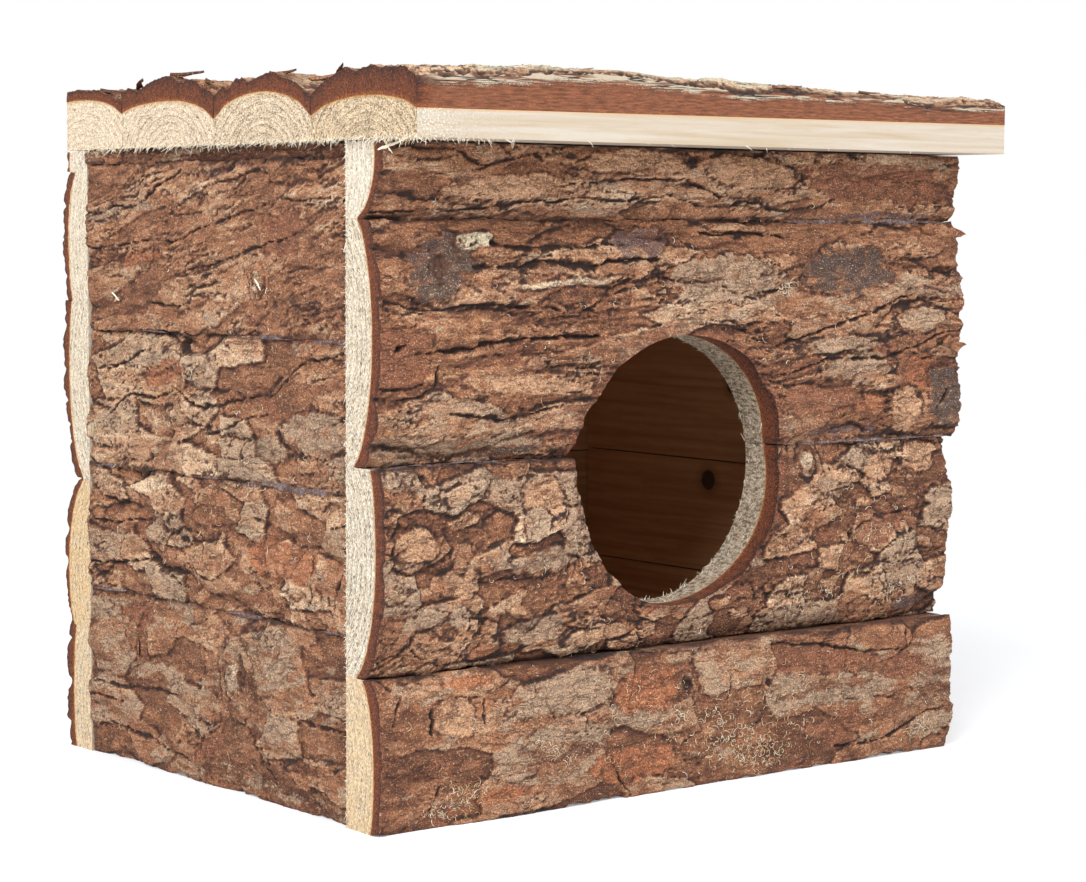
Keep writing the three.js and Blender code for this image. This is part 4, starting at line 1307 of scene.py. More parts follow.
def strands(name, starts, paths, bends, radii, curls=None, steps=4, shade=1.0):
    """Thin pointed fibres: where each starts, how far and which way it goes, which way it bends, how thick
    it is and through what angle it curls."""
    bm = bmesh.new()
    for k in range(len(starts)):
        bmesh.ops.create_cone(bm, cap_ends=True, segments=3, radius1=0.5, radius2=0.1, depth=1,
                              matrix=Matrix.Translation((2 * k, 0, 0.5)))
    bmesh.ops.subdivide_edges(bm, edges=[edge for edge in bm.edges if runs(edge, 2)], cuts=steps - 1)
    piece = new_piece(name, bm)
    mesh = piece.data
    places = read(mesh.vertices, "co", 3)
    which = np.rint(places[:, 0] / 2).astype(int)
    curl = np.full(len(which), 1.0)[:, None] if curls is None else curls[which][:, None]
    angle = places[:, 2:] * curl
    heading = paths[which] * np.cos(angle) + bends[which] * np.sin(angle)
    heading /= np.linalg.norm(heading, axis=1, keepdims=True) + 1e-9
    first = np.cross(heading, np.where(np.abs(heading[:, 2:]) < 0.8, (0, 0, 1), (0, 1, 0)))
    first /= np.linalg.norm(first, axis=1, keepdims=True)
    second = np.cross(heading, first)
    across = first * (places[:, :1] - 2 * which[:, None]) + second * places[:, 1:2]
    middle = starts[which] + (paths[which] * np.sin(angle) + bends[which] * (1 - np.cos(angle))) / curl
    places = middle + 2 * radii[which][:, None] * across
    places[:, 2] = np.maximum(places[:, 2], 0.05)
    write_places(mesh, places * MM)
    write_attribute(mesh, "shade", shade * hashed(which, which, 3))
    return piece


def fringe(name, starts, outward, along, length_mm, lean, seed, nodes):
    """A row of fibres torn out by the saw. They point outward, leaning along the edge either way."""
    rng = np.random.default_rng(seed)
    count = len(starts)
    sizes_mm = length_mm * rng.uniform(0.35, 1.5, (count, 1))
    side = rng.normal(0, lean, (count, 1))
    paths = sizes_mm * (outward + side * along + rng.normal(0, 0.2, (count, 3)))
    bends = sizes_mm * rng.normal(0, 0.5, (count, 3))
    piece = strands(name, starts, paths, bends, rng.uniform(0.07, 0.14, count))
    paint(piece.data, [fibre_material()])
    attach(piece, BODY)
    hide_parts(*nodes)


def roof_fringe():
    """Fibres along the lower edge of the roof's left ends, thickest at the front corner, and a few along its
    front."""
    rng = np.random.default_rng(11)
    low, high = (np.array(corner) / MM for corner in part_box("roof_slab_1_wood"))
    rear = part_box("roof_slab_4_wood")[1][1] / MM
    count = ROOF_END_FIBRES
    back = low[1] + (rear - low[1]) * rng.uniform(0, 1, count) ** 1.25
    starts = np.stack([low[0] + rng.uniform(0.05, 0.5, count), back,
                       low[2] + rng.uniform(0.02, 0.8, count)], -1)
    nodes = [f"roof_slab_{k}_wood" for k in (1, 2, 3, 4)]
    length_mm = sizes().fibre_length / MM
    fringe("roof_end_fibres", starts, np.array((-0.35, 0, -0.7)), np.array((0, 1.0, 0)), 1.35 * length_mm,
           0.8, 12, nodes)
    front = low[0] + 24 * rng.uniform(0, 1, CORNER_FIBRES) ** 1.6
    few = low[0] + (high[0] - low[0]) * rng.uniform(0, 1, FRONT_FIBRES) ** 3
    along = np.concatenate([front, few])
    count = len(along)
    starts = np.stack([along, low[1] + rng.uniform(0.05, 0.4, count),
                       low[2] + rng.uniform(0.02, 0.3, count)], -1)
    fringe("roof_front_fibres", starts, np.array((0, -0.25, -0.9)), np.array((1.0, 0, 0)), length_mm, 0.6,
           13, nodes[:1])


def end_fringe(side, number, count, length_mm, seed):
    """Fibres along the inner edge of a wall's left end, lying over the left wall's bark."""
    rng = np.random.default_rng(seed)
    low, high = (np.array(corner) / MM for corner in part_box(f"{side}_slab_{number}_wood"))
    up = rng.uniform(low[2], high[2], count)
    inner, inward = (high[1], 1.0) if side == "front" else (low[1], -1.0)
    starts = np.stack([low[0] + rng.uniform(0.02, 0.5, count),
                       inner - inward * rng.uniform(0.02, 0.4, count), up], -1)
    fringe(f"{side}_end_fibres_{number}", starts, np.array((-0.45, 0.75 * inward, -0.2)),
           np.array((0, 0, 1.0)), length_mm,
           0.95, seed + 1, [f"{side}_slab_{number}_wood"])


def rim_fringe(number, count, seed):
    """Fibres round the entrance, on its sawn wood, most of them along the edge inside."""
    rng = np.random.default_rng(seed)
    slab = next(slab for slab in SLABS if slab.side == "front" and slab.number == number)
    middle, up, radius = ENTRANCE
    lift = math.asin((slab_at("front", 69.4).base - up) / radius)
    first, last = (math.pi - lift, 2 * math.pi + lift) if number == 2 else (lift, math.pi - lift)
    turns = rng.uniform(first, last, count)
    u = middle + (radius + 0.05) * np.cos(turns)
    v = up + (radius + 0.05) * np.sin(turns) - slab.base
    out = slab.core_at(u, v) * rng.uniform(0.01, 1.0, count) ** 2.5
    starts = slab.place(u, v, out) / MM
    inward = -np.stack([np.cos(turns), 0 * turns, np.sin(turns)], -1)
    round_it = np.stack([-np.sin(turns), 0 * turns, np.cos(turns)], -1)
    fringe(f"entrance_fibres_{number}", starts, 0.55 * inward + np.array((0, 0.25, 0)), round_it, 0.9, 0.8,
           seed + 1,
           [f"front_slab_{number}_wood"])


def tufts():
    """Curly fibres that lie on the bark in tufts."""
    for side, rows in TUFTS.items():
        rng = np.random.default_rng(31 + len(rows))
        along = np.concatenate([rng.normal(middle, wide / 2, count)
                                for middle, _, wide, _, count, _ in rows])
        up = np.concatenate([rng.normal(middle, high / 2, count)
                             for _, middle, _, high, count, _ in rows])
        size = np.concatenate([reach * rng.uniform(0.4, 1.3, count) for *_, count, reach in rows])
        length_mm, top = SLABS[0].length if side == "front" else slab_at("left", 1).length, 126
        kept = (along > 1) & (along < length_mm - 1) & (up > 0.6) & (up < top)
        if side == "front":
            kept &= np.hypot(along - ENTRANCE[0], up - ENTRANCE[1]) > ENTRANCE[2] + 1
        along, up, size = along[kept], up[kept], size[kept]
        turn = rng.uniform(0, 2 * np.pi, (len(along), 1))
        lengthwise, upward, outward = np.array(DIRECTIONS[side], float)
        paths = np.cos(turn) * lengthwise + np.sin(turn) * upward + 0.4 * outward
        lean = rng.uniform(-0.3, 0.1, turn.shape)
        bends = np.cos(turn) * upward - np.sin(turn) * lengthwise + lean * outward
        starts = on_bark(side, along, up, along * 0 + 0.05)
        size = 1.9 * size[:, None]
        piece = strands(f"{side}_tufts", starts, size * paths, size * bends,
                        rng.uniform(0.06, 0.11, len(along)),
                        rng.choice((-1, 1), len(along)) * rng.uniform(1.8, 4.6, len(along)), 7, 0.2)
        paint(piece.data, [fibre_material()])
        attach(piece, BODY)
        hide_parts(*[f"{slab.node}_bark" for slab in SLABS if slab.side == side and slab.number < 5])


def splinter(number, side, start, end, width, thickness, kind):
    """A loose splinter or flake: flat, pointed at its free end and a little bent."""
    bm = lattice(14, 5, 1)
    slab = slab_at(side, start[1])
    piece = new_piece(f"{side}_splinter_{number}", bm)
    mesh = piece.data
    places = read(mesh.vertices, "co", 3)
    a, b, c = places[:, 0], places[:, 1] - 0.5, places[:, 2] - 0.5
    ends = on_bark(side, *np.array([start, end]).T)
    heading = ends[1] - ends[0]
    outward = np.array(DIRECTIONS[side][2], float)
    across = np.cross(heading / np.linalg.norm(heading), outward)
    seed = 900 + number
    ragged = 1 + 0.5 * noise(a * 5, np.sign(b) * 2, seed) + 0.25 * noise(a * 13, np.sign(b) * 3, seed + 1)
    wide = width * np.minimum(1, 0.35 + 2.6 * a) * (1.03 - a**2.6) ** 0.6 * ragged
    bent = 0.35 * width * noise(a * 2.2, a * 0, seed + 2)
    rise = -0.25 * np.linalg.norm(heading) * 0.3 * a * (1 - a) + 0.15 * width * (1 - 4 * b * b)
    middle = ends[0] + heading * a[:, None] + across * (bent + b * wide)[:, None]
    thick = thickness * (1 - 0.6 * a) * (1 - 0.8 * (2 * np.abs(b)) ** 2)
    write_places(mesh, (middle + outward * (rise + c * thick)[:, None]) * MM)
    write_attribute(mesh, "slab", np.stack([a * 12 + 40 * number, b * wide, c * thick], -1))
    write_attribute(mesh, "shade", 0.3 + 0.2 * noise(a * 3, b, seed))
    for name in FINISHES + ("crevice_and_shade",):
        write_attribute(mesh, name, 0.25 * noise(a * 4, b * 2, seed + 4) * (name in ("rust", "crevice_and_shade")))
    write_attribute(mesh, "tone", (0.3 if kind == "bark" else -0.4) + 0.3 * noise(a * 3, b, seed + 3))
    paint(mesh, [fibre_material() if kind == "fibre" else bark_material()])
    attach(piece, BODY)
    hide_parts(f"{slab.node}_bark")


def rim_faces(slab, mesh):
    """Which faces lie round the entrance."""
    middles = read(mesh.polygons, "center", 3) / MM
    if not slab.entered:
        return np.zeros(len(middles), bool)
    u = middles[:, 0] - slab.corner[0]
    return np.abs(np.hypot(u - ENTRANCE[0], middles[:, 2] - ENTRANCE[1]) - ENTRANCE[2]) < 0.6


# Materials

class Graph:
    """Adds nodes to a material or a node group and joins them."""

    def __init__(self, tree):
        self.tree = tree
        tree.nodes.clear()

    def node(self, kind, inputs=None, **settings):
        """A node with its settings, whose inputs are numbers, colours or other nodes' outputs."""
        made = self.tree.nodes.new(kind)
        for key, value in settings.items():
            setattr(made, key, value)
        for key, value in (inputs or {}).items():
            if isinstance(value, bpy.types.NodeSocket):
                self.tree.links.new(value, made.inputs[key])
            else:
                socket = made.inputs[key]
                socket.default_value = opaque(value) if socket.type == "RGBA" else value
        return made

    def value(self, name):
        """The number that each point of the mesh carries under that name."""
        return self.node("ShaderNodeAttribute", attribute_name=name).outputs["Fac"]

    def vector(self, name):
        """The place that each point of the mesh carries under that name."""
        return self.node("ShaderNodeAttribute", attribute_name=name).outputs["Vector"]

    def math(self, operation, a, b=0.0):
        return self.node("ShaderNodeMath", {0: a, 1: b}, operation=operation).outputs[0]

    def plus(self, a, b):
        return self.math("ADD", a, b)

    def minus(self, a, b):
        return self.math("SUBTRACT", a, b)

    def times(self, a, b):
        return self.math("MULTIPLY", a, b)

    def stretched(self, place, factors):
        return self.node("ShaderNodeVectorMath", {0: place, 1: factors}, operation="MULTIPLY").outputs[0]

    def noise(self, place, scale, detail=3.0, roughness=0.6, distortion=0.0):
        inputs = {"Vector": place, "Scale": scale, "Detail": detail, "Roughness": roughness,
                  "Distortion": distortion}
        return self.node("ShaderNodeTexNoise", inputs).outputs["Fac"]

    def between(self, value, low, high, to_low=0.0, to_high=1.0):
        inputs = {"Value": value, "From Min": low, "From Max": high, "To Min": to_low, "To Max": to_high}
        return self.node("ShaderNodeMapRange", inputs).outputs[0]

    def mixed(self, share, first, second, blend="MIX"):
        inputs = {0: share, 6: first, 7: second}
        return self.node("ShaderNodeMix", inputs, data_type="RGBA", blend_type=blend).outputs[2]

    def ramp(self, value, *stops):
        made = self.node("ShaderNodeValToRGB", {0: value})
        elements = made.color_ramp.elements
        while len(elements) < len(stops):
            elements.new(1.0)
        for element, (position, tint) in zip(elements, stops):
            element.position = position
            element.color = opaque(tint)
        return made.outputs[0]

    def lit(self, tint, light):
        """A colour made lighter or darker by a value near 1."""
        light = self.node("ShaderNodeCombineColor", {0: light, 1: light, 2: light}).outputs[0]
        return self.mixed(1.0, tint, light, "MULTIPLY")

    def bump(self, height, distance, strength=1.0):
        return self.node("ShaderNodeBump",
                         {"Height": height, "Distance": distance, "Strength": strength}).outputs[0]

    def finish(self, **inputs):
        """The surface shader, with spaces in its inputs' names written as underscores."""
        shader = self.node("ShaderNodeBsdfPrincipled",
                           {key.replace("_", " "): value for key, value in inputs.items()})
        self.node("ShaderNodeOutputMaterial", {"Surface": shader.outputs[0]})


def opaque(tint):
    """A colour with its fourth number, which is always 1."""
    return (*tuple(tint)[:3], 1.0)


def named_material(name, build):
    """The material of that name, built the first time that it is asked for."""
    material = bpy.data.materials.get(name)
    if material is None:
        material = bpy.data.materials.new(name)
        material.use_nodes = True
        build(Graph(material.node_tree))
    return material


def effect(name, inputs, outputs, build):
    """A node group with named inputs and outputs, built once."""
    group = bpy.data.node_groups.get(name)
    if group is None:
        group = bpy.data.node_groups.new(name, "ShaderNodeTree")
        for key, kind, default in inputs:
            socket = group.interface.new_socket(key, in_out="INPUT", socket_type=kind)
            if default is not None:
                socket.default_value = default
        for key, kind in outputs:
            group.interface.new_socket(key, in_out="OUTPUT", socket_type=kind)
        graph = Graph(group)
        given = graph.node("NodeGroupInput")
        made = build(graph, given.outputs)
        graph.node("NodeGroupOutput", dict(zip([key for key, _ in outputs], made)))
    return group


def grain_effect():
    """Fine granules and threads that run along the slab."""
    def build(graph, given):
        granules = graph.noise(given["Place"], given["Granules"], 4.0, 0.7)
        along = graph.stretched(given["Place"], (0.16, 1.0, 1.0))
        threads = graph.noise(along, given["Threads"], 5.0, 0.65, 0.4)
        return granules, threads

    return effect("Bark and wood grain",
                  [("Place", "NodeSocketVector", None), ("Granules", "NodeSocketFloat", 3.0),
                   ("Threads", "NodeSocketFloat", 2.0)],
                  [("Granules", "NodeSocketFloat"), ("Threads", "NodeSocketFloat")], build)


def fleck_effect():
    """Small torn spots where the saw pulled at the wood."""
    def build(graph, given):
        spots = graph.noise(graph.stretched(given["Place"], given["Stretch"]), given["Scale"], 2.0, 0.55)
        low = given["Threshold"]
        high = graph.plus(low, 0.05)
        return (graph.between(spots, low, high),)

    return effect("Torn flecks",
                  [("Place", "NodeSocketVector", None), ("Stretch", "NodeSocketVector", (1.0, 1.0, 1.0)),
                   ("Scale", "NodeSocketFloat", 3.0), ("Threshold", "NodeSocketFloat", 0.58)],
                  [("Flecks", "NodeSocketFloat")], build)


def grain(graph, place, granules, threads):
    """The two outputs of the grain effect, with its own sizes."""
    made = graph.node("ShaderNodeGroup", node_tree=grain_effect())
    graph.tree.links.new(place, made.inputs["Place"])
    made.inputs["Granules"].default_value = granules
    made.inputs["Threads"].default_value = threads
    return made.outputs["Granules"], made.outputs["Threads"]


def flecks(graph, place, stretch, scale, threshold):
    """The fleck effect's mask, with its own sizes. The threshold is a number or another node's output."""
    inputs = {"Place": place, "Stretch": stretch, "Scale": scale, "Threshold": threshold}
    return graph.node("ShaderNodeGroup", inputs, node_tree=fleck_effect()).outputs["Flecks"]


def bark_material():
    """Bark as it shows outside, with the finishes, cracks and tones that the mesh carries."""
    def build(graph):
        tints = bark_colours()
        place = graph.vector("slab")
        granules, threads = grain(graph, place, 2.3, 1.7)
        specks = graph.noise(place, 3.2, 1.0, 0.6)
        patchy = graph.noise(graph.stretched(place, (0.45, 1.0, 1.0)), 0.4, 5.0, 0.62)
        ragged = graph.plus(graph.between(granules, 0.25, 0.75, -0.2, 0.2),
                            graph.between(patchy, 0.25, 0.75, -0.3, 0.3))
        # The tone carries painted highlights and painted shade from the relief, on top of the bark's own
        # tone
        tone = graph.plus(graph.value("tone"), graph.between(patchy, 0.3, 0.7, -0.25, 0.25))
        base = graph.ramp(graph.between(tone, -0.3, 1.3), (0.08, tints.dark), (0.45, tints.brown),
                          (0.72, tints.tan),
                          (0.98, tints.bleached_and_highlit))
        for name in FINISHES:
            share = graph.between(graph.plus(graph.value(name), ragged), 0.32, 0.72, 0.0, 0.85)
            base = graph.mixed(share, base, getattr(tints, name))
        light = graph.plus(graph.between(granules, 0.38, 0.62, 0.82, 1.18),
                           graph.between(threads, 0.36, 0.64, -0.22, 0.22))
        light = graph.times(light, graph.between(specks, 0.36, 0.64, 0.66, 1.32))
        base = graph.lit(base, light)
        dust = graph.times(graph.between(specks, 0.58, 0.66), graph.between(granules, 0.48, 0.58, 0.0, 0.75))
        base = graph.mixed(dust, base, tints.pale)
        lines = fine_cracks(graph, place)
        base = graph.mixed(graph.times(lines, 0.6), base, tints.lines)
        # Painted shade: marked cracks, hollows, flake edges and joints darken toward the lines, then crevice
        # colour
        dark = graph.plus(graph.value("crevice_and_shade"), graph.between(granules, 0.3, 0.7, -0.16, 0.16))
        base = graph.mixed(graph.between(dark, 0.2, 0.5, 0.0, 0.88), base, tints.lines)
        base = graph.mixed(graph.between(dark, 0.5, 0.85, 0.0, 0.94), base, tints.crevice_and_shade)
        relief = graph.plus(graph.times(granules, 0.45), graph.times(threads, 0.5))
        relief = graph.plus(relief, graph.times(specks, 0.3))
        relief = graph.minus(relief, graph.times(lines, 0.4))
        rough = graph.between(granules, 0.3, 0.7, 0.8, 0.97)
        graph.finish(Base_Color=base, Roughness=rough, Normal=graph.bump(relief, 0.6 * MM, 1.0))

    return named_material("Flaking bark", build)


def fine_cracks(graph, place):
    """Hairline cracks in the plates, here and there."""
    shift = graph.node("ShaderNodeTexNoise",
                       {"Vector": place, "Scale": 0.55, "Detail": 3.0}).outputs["Color"]
    shift = graph.stretched(shift, (3.4, 2.2, 2.2))
    warped = graph.node("ShaderNodeVectorMath", {0: graph.stretched(place, (0.5, 1.0, 1.0)), 1: shift},
                        operation="ADD").outputs[0]
    apart = graph.node("ShaderNodeTexVoronoi", {"Vector": warped, "Scale": 0.3},
                       feature="DISTANCE_TO_EDGE").outputs[0]
    here = graph.between(graph.noise(place, 0.24, 2.0), 0.42, 0.56)
    wide = graph.times(graph.between(apart, 0.05, 0.012), here)
    creased = graph.noise(graph.stretched(place, (0.3, 1.0, 1.0)), 0.55, 5.0, 0.62, 0.8)
    fine = graph.between(graph.math("ABSOLUTE", graph.minus(creased, 0.5)), 0.016, 0.004)
    there = graph.between(graph.noise(place, 0.35, 3.0), 0.42, 0.54)
    return graph.math("MAXIMUM", wide, graph.times(fine, there))


def bark_section_material():
    """Bark sawn across, or along at the roof's front edge, in layers from the wood outwards."""
    def build(graph):
        tints = bark_colours()
        place = graph.vector("slab")
        granules, threads = grain(graph, place, 3.4, 2.2)
        layer = graph.plus(graph.value("layer"), graph.between(granules, 0.3, 0.7, -0.16, 0.16))
        section = graph.ramp(layer, (0.0, tints.section_inner), (0.14, tints.section), (0.6, tints.section),
                             (0.9, tints.section_dark))
        spots = flecks(graph, place, (0.6, 1.0, 1.0), 3.2, 0.57)
        section = graph.mixed(graph.times(spots, 0.6), section, tints.section_inner)
        pits = flecks(graph, place, (0.6, 1.0, 1.0), 2.5, 0.58)
        section = graph.mixed(graph.times(pits, 0.7), section, tints.crevice_and_shade)
        bright = flecks(graph, place, (1.0, 1.0, 1.0), 3.7, 0.66)
        section = graph.mixed(graph.times(bright, 0.7), section, tints.tan)
        section = graph.lit(section, graph.between(threads, 0.36, 0.64, 0.45, 1.6))
        streaks = graph.noise(graph.stretched(place, (0.12, 1.0, 1.0)), 2.6, 4.0, 0.6)
        sheets = graph.lit(tints.section_long, graph.between(streaks, 0.36, 0.64, 0.55, 1.5))
        sheets = graph.mixed(graph.times(bright, 0.8), sheets, tints.bleached_and_highlit)
        section = graph.mixed(graph.times(graph.value("long"), 0.85), section, sheets)
        pale = graph.noise(graph.stretched(place, (0.05, 0.5, 1.0)), 0.9, 4.0, 0.6)
        pale = graph.times(graph.between(pale, 0.44, 0.5), graph.between(layer, 0.74, 0.84))
        section = graph.mixed(graph.times(pale, graph.value("long")), section, tints.crust)
        slits = graph.noise(graph.stretched(place, (0.04, 0.5, 1.0)), 1.1, 3.0, 0.6)
        slits = graph.between(graph.math("ABSOLUTE", graph.minus(slits, 0.5)), 0.03, 0.01)
        slits = graph.times(slits, graph.between(layer, 0.55, 0.85))
        section = graph.mixed(graph.times(slits, graph.value("long")), section, tints.crevice_and_shade)
        # Painted shade: where cracks reach the sawn bark, its outer part is darkened, except along the
        # roof's front edge
        dark = graph.times(graph.value("crevice_and_shade"), graph.times(graph.value("layer"), 0.7))
        dark = graph.times(dark, graph.minus(1.0, graph.value("long")))
        section = graph.mixed(dark, section, tints.crevice_and_shade)
        relief = graph.plus(granules, threads)
        graph.finish(Base_Color=section, Roughness=0.93, Normal=graph.bump(relief, 0.5 * MM, 0.9))

    return named_material("Sawn bark", build)


def end_grain_material(name, plain, stretch, threshold):
    """Wood sawn across the grain, with growth rings and flecks torn along them. The stretch is along a ring,
    across the rings and along the slab."""
    def build(graph):
        tints = wood_colours()
        place = graph.vector("slab")
        rings = graph.vector("rings")
        granules, _ = grain(graph, place, 3.2, 2.0)
        wander = graph.between(graph.noise(place, 0.16, 2.0), 0.3, 0.7, -0.3, 0.3)
        out = graph.node("ShaderNodeSeparateXYZ", {0: rings}).outputs["Y"]
        phase = graph.math("FRACT", graph.math("DIVIDE", graph.plus(out, wander), RING_GAP))
        late = graph.math("POWER", phase, 3.0)
        patchy = graph.between(graph.noise(place, 0.3, 3.0), 0.4, 0.65)
        creamy = graph.times(graph.value("creamy"), graph.between(patchy, 0.0, 1.0, 1.0, 0.7))
        wood = graph.mixed(creamy, plain, tints.creamy)
        wood = graph.mixed(graph.times(late, graph.between(patchy, 0.0, 1.0, 0.22, 0.5)), wood,
                           tints.late)
        wood = graph.mixed(graph.between(granules, 0.5, 0.7, 0.0, 0.45), wood, tints.late)
        fuzz = graph.noise(graph.stretched(place, (1.0, 0.7, 1.0)), 3.0, 2.0, 0.6)
        wood = graph.lit(wood, graph.between(fuzz, 0.36, 0.64, 0.68, 1.2))
        streaks = graph.noise(graph.stretched(rings, (0.22, 1.5, 0.4)), 1.5, 4.0, 0.62)
        wood = graph.mixed(graph.between(streaks, 0.52, 0.66, 0.0, 0.55), wood, tints.late)
        wood = graph.lit(wood, graph.between(streaks, 0.34, 0.52, 1.1, 1.0))
        low = graph.minus(graph.between(patchy, 0.0, 1.0, threshold + 0.03, threshold - 0.03),
                         graph.plus(graph.times(late, 0.07), graph.value("torn")))
        torn = flecks(graph, rings, stretch, 1.0, low)
        fine = flecks(graph, rings, stretch, 1.9, graph.plus(low, 0.015))
        torn = graph.math("MAXIMUM", torn, graph.times(fine, 0.8))
        wood = graph.mixed(graph.times(torn, 0.85), wood, tints.fleck)
        edge = graph.between(graph.value("under_bark"), 0.8, 0.1)
        wood = graph.mixed(graph.times(edge, 0.7), wood, tints.cambium)
        relief = graph.minus(granules, graph.times(torn, 0.8))
        graph.finish(Base_Color=wood, Roughness=0.92, Normal=graph.bump(relief, 0.45 * MM, 0.9))

    return named_material(name, build)


def sawn_face_material(name, plain, streak):
    """Wood sawn along the grain, with streaks, knots and chips."""
    def build(graph):
        tints = wood_colours()
        place = graph.vector("slab")
        granules, threads = grain(graph, place, 2.4, 1.1)
        streaks = graph.noise(graph.stretched(place, (0.02, 0.6, 0.6)), 1.0, 4.0, 0.55, 0.6)
        wood = graph.mixed(graph.between(streaks, 0.38, 0.68), plain, streak)
        wood = graph.mixed(graph.between(threads, 0.52, 0.72, 0.0, 0.45), wood, streak)
        house = graph.node("ShaderNodeTexCoord").outputs["Object"]
        for centre, radius in INSIDE_KNOTS:
            middle = tuple(c * MM for c in centre)
            away = graph.node("ShaderNodeVectorMath", {0: house, 1: middle},
                              operation="DISTANCE").outputs["Value"]
            ragged = graph.plus(away, graph.between(granules, 0.3, 0.7, -0.35 * MM, 0.35 * MM))
            wood = graph.mixed(graph.between(ragged, radius * MM * 1.9, radius * MM * 0.9, 0.0, 0.35), wood,
                               tints.knot)
            wood = graph.mixed(graph.between(ragged, radius * MM, radius * MM * 0.8, 0.0, 0.9), wood,
                               tints.knot)
        edge = graph.between(graph.value("under_bark"), 0.5, 0.05)
        wood = graph.mixed(graph.times(edge, 0.5), wood, tints.cambium)
        chips = flecks(graph, place, (0.8, 1.0, 1.0), 1.7, 0.53)
        chips = graph.times(chips, graph.value("frayed"))
        wood = graph.mixed(graph.times(chips, 0.3), wood, tints.late)
        wood = graph.mixed(graph.times(graph.between(granules, 0.52, 0.62), graph.value("frayed")), wood,
                           tints.early)
        relief = graph.plus(graph.times(granules, 0.3), threads)
        relief = graph.minus(relief, graph.times(chips, 3.0))
        graph.finish(Base_Color=wood, Roughness=graph.between(threads, 0.3, 0.7, 0.6, 0.75),
                     Normal=graph.bump(relief, 0.16 * MM, 0.6))

    return named_material(name, build)


def rim_material():
    """Rough sawn wood round the entrance."""
    def build(graph):
        tints = wood_colours()
        place = graph.vector("slab")
        granules, threads = grain(graph, place, 3.0, 1.6)
        ridges = graph.noise(graph.stretched(place, (1.0, 1.0, 0.45)), 1.5, 3.0, 0.6)
        wood = graph.mixed(graph.between(ridges, 0.38, 0.56), tints.fleck, tints.rim)
        wood = graph.mixed(graph.between(granules, 0.4, 0.56, 0.75, 0.0), wood, tints.fleck)
        wood = graph.mixed(graph.between(threads, 0.5, 0.65, 0.0, 0.7), wood, tints.early)
        edge = graph.between(graph.value("under_bark"), 0.5, 0.1)
        wood = graph.mixed(graph.times(edge, 0.4), wood, tints.cambium)
        relief = graph.plus(granules, threads)
        graph.finish(Base_Color=wood, Roughness=0.95, Normal=graph.bump(relief, 0.7 * MM, 1.0))

    return named_material("Entrance rim", build)


def glue_material():
    """Cloudy dried glue with bits of bark and sawdust in it."""
    def build(graph):
        tints = wood_colours()
        place = graph.vector("slab")
        granules, _ = grain(graph, place, 2.2, 1.5)
        clouds = graph.noise(place, 0.7, 4.0)
        base = graph.mixed(graph.between(clouds, 0.4, 0.56), tints.glue, bark_colours().lines)
        base = graph.mixed(graph.between(granules, 0.56, 0.7, 0.0, 0.5), base, tints.early)
        relief = graph.plus(clouds, graph.times(granules, 0.3))
        graph.finish(Base_Color=base, Roughness=graph.between(granules, 0.3, 0.7, 0.22, 0.42),
                     Normal=graph.bump(relief, 0.6 * MM, 0.7))

    return named_material("Dried glue", build)


def fibre_material():
    """Pale fibres torn out by the saw."""
    def build(graph):
        tints = wood_colours()
        base = graph.ramp(graph.value("shade"), (0.0, tints.late), (0.2, tints.fibre), (1.0, tints.fibre))
        house = graph.node("ShaderNodeTexCoord").outputs["Object"]
        granules, _ = grain(graph, house, 3000.0, 1500.0)
        base = graph.lit(base, graph.between(granules, 0.3, 0.7, 0.8, 1.15))
        graph.finish(Base_Color=base, Roughness=0.75)

    return named_material("Torn fibres", build)


class HOUSE_OT_wood(bpy.types.Operator):
    """Build the sawn wood of every slab"""

    bl_idname = "house.wood"
    bl_label = "Sawn wood"

    def execute(self, context):
        for slab in SLABS:
            wood_piece(slab)
        return {"FINISHED"}


class HOUSE_OT_bark(bpy.types.Operator):
    """Build the bark of every slab"""

    bl_idname = "house.bark"
    bl_label = "Bark"

    def execute(self, context):
        for slab in SLABS:
            bark_piece(slab)
        return {"FINISHED"}


class HOUSE_OT_glue(bpy.types.Operator):
    """Build the dried glue along the joints"""

    bl_idname = "house.glue"
    bl_label = "Glue"

    def execute(self, context):
        for row in GLUE_LINES:
            glue_piece(*row)
        return {"FINISHED"}


class HOUSE_OT_fibres(bpy.types.Operator):
    """Build the fibres torn by the saw and the tufts on the bark"""

    bl_idname = "house.fibres"
    bl_label = "Torn fibres"

    def execute(self, context):
        roof_fringe()
        length_mm = sizes().fibre_length / MM
        for number, count in ((1, 60), (2, 110), (3, 150), (4, 60)):
            end_fringe("front", number, count, 0.6 * length_mm, 50 + number)
        for number, count in ((1, 20), (2, 50), (3, 60), (4, 60)):
            end_fringe("back", number, count, 0.5 * length_mm, 70 + number)
        rim_fringe(2, 220, 90)
        rim_fringe(3, 150, 92)
        tufts()
        return {"FINISHED"}


class HOUSE_OT_splinters(bpy.types.Operator):
    """Build the splinters and loose flakes"""

    bl_idname = "house.splinters"
    bl_label = "Splinters"

    def execute(self, context):
        for number, row in enumerate(SPLINTERS, 1):
            splinter(number, *row)
        return {"FINISHED"}


class HOUSE_OT_stage(bpy.types.Operator):
    """Build the floor, the lights and the camera"""

    bl_idname = "house.stage"
    bl_label = "Floor, lights and camera"

    def execute(self, context):
        add_floor()
        add_lights()
        add_camera()
        context.scene.view_settings.view_transform = "Standard"
        return {"FINISHED"}


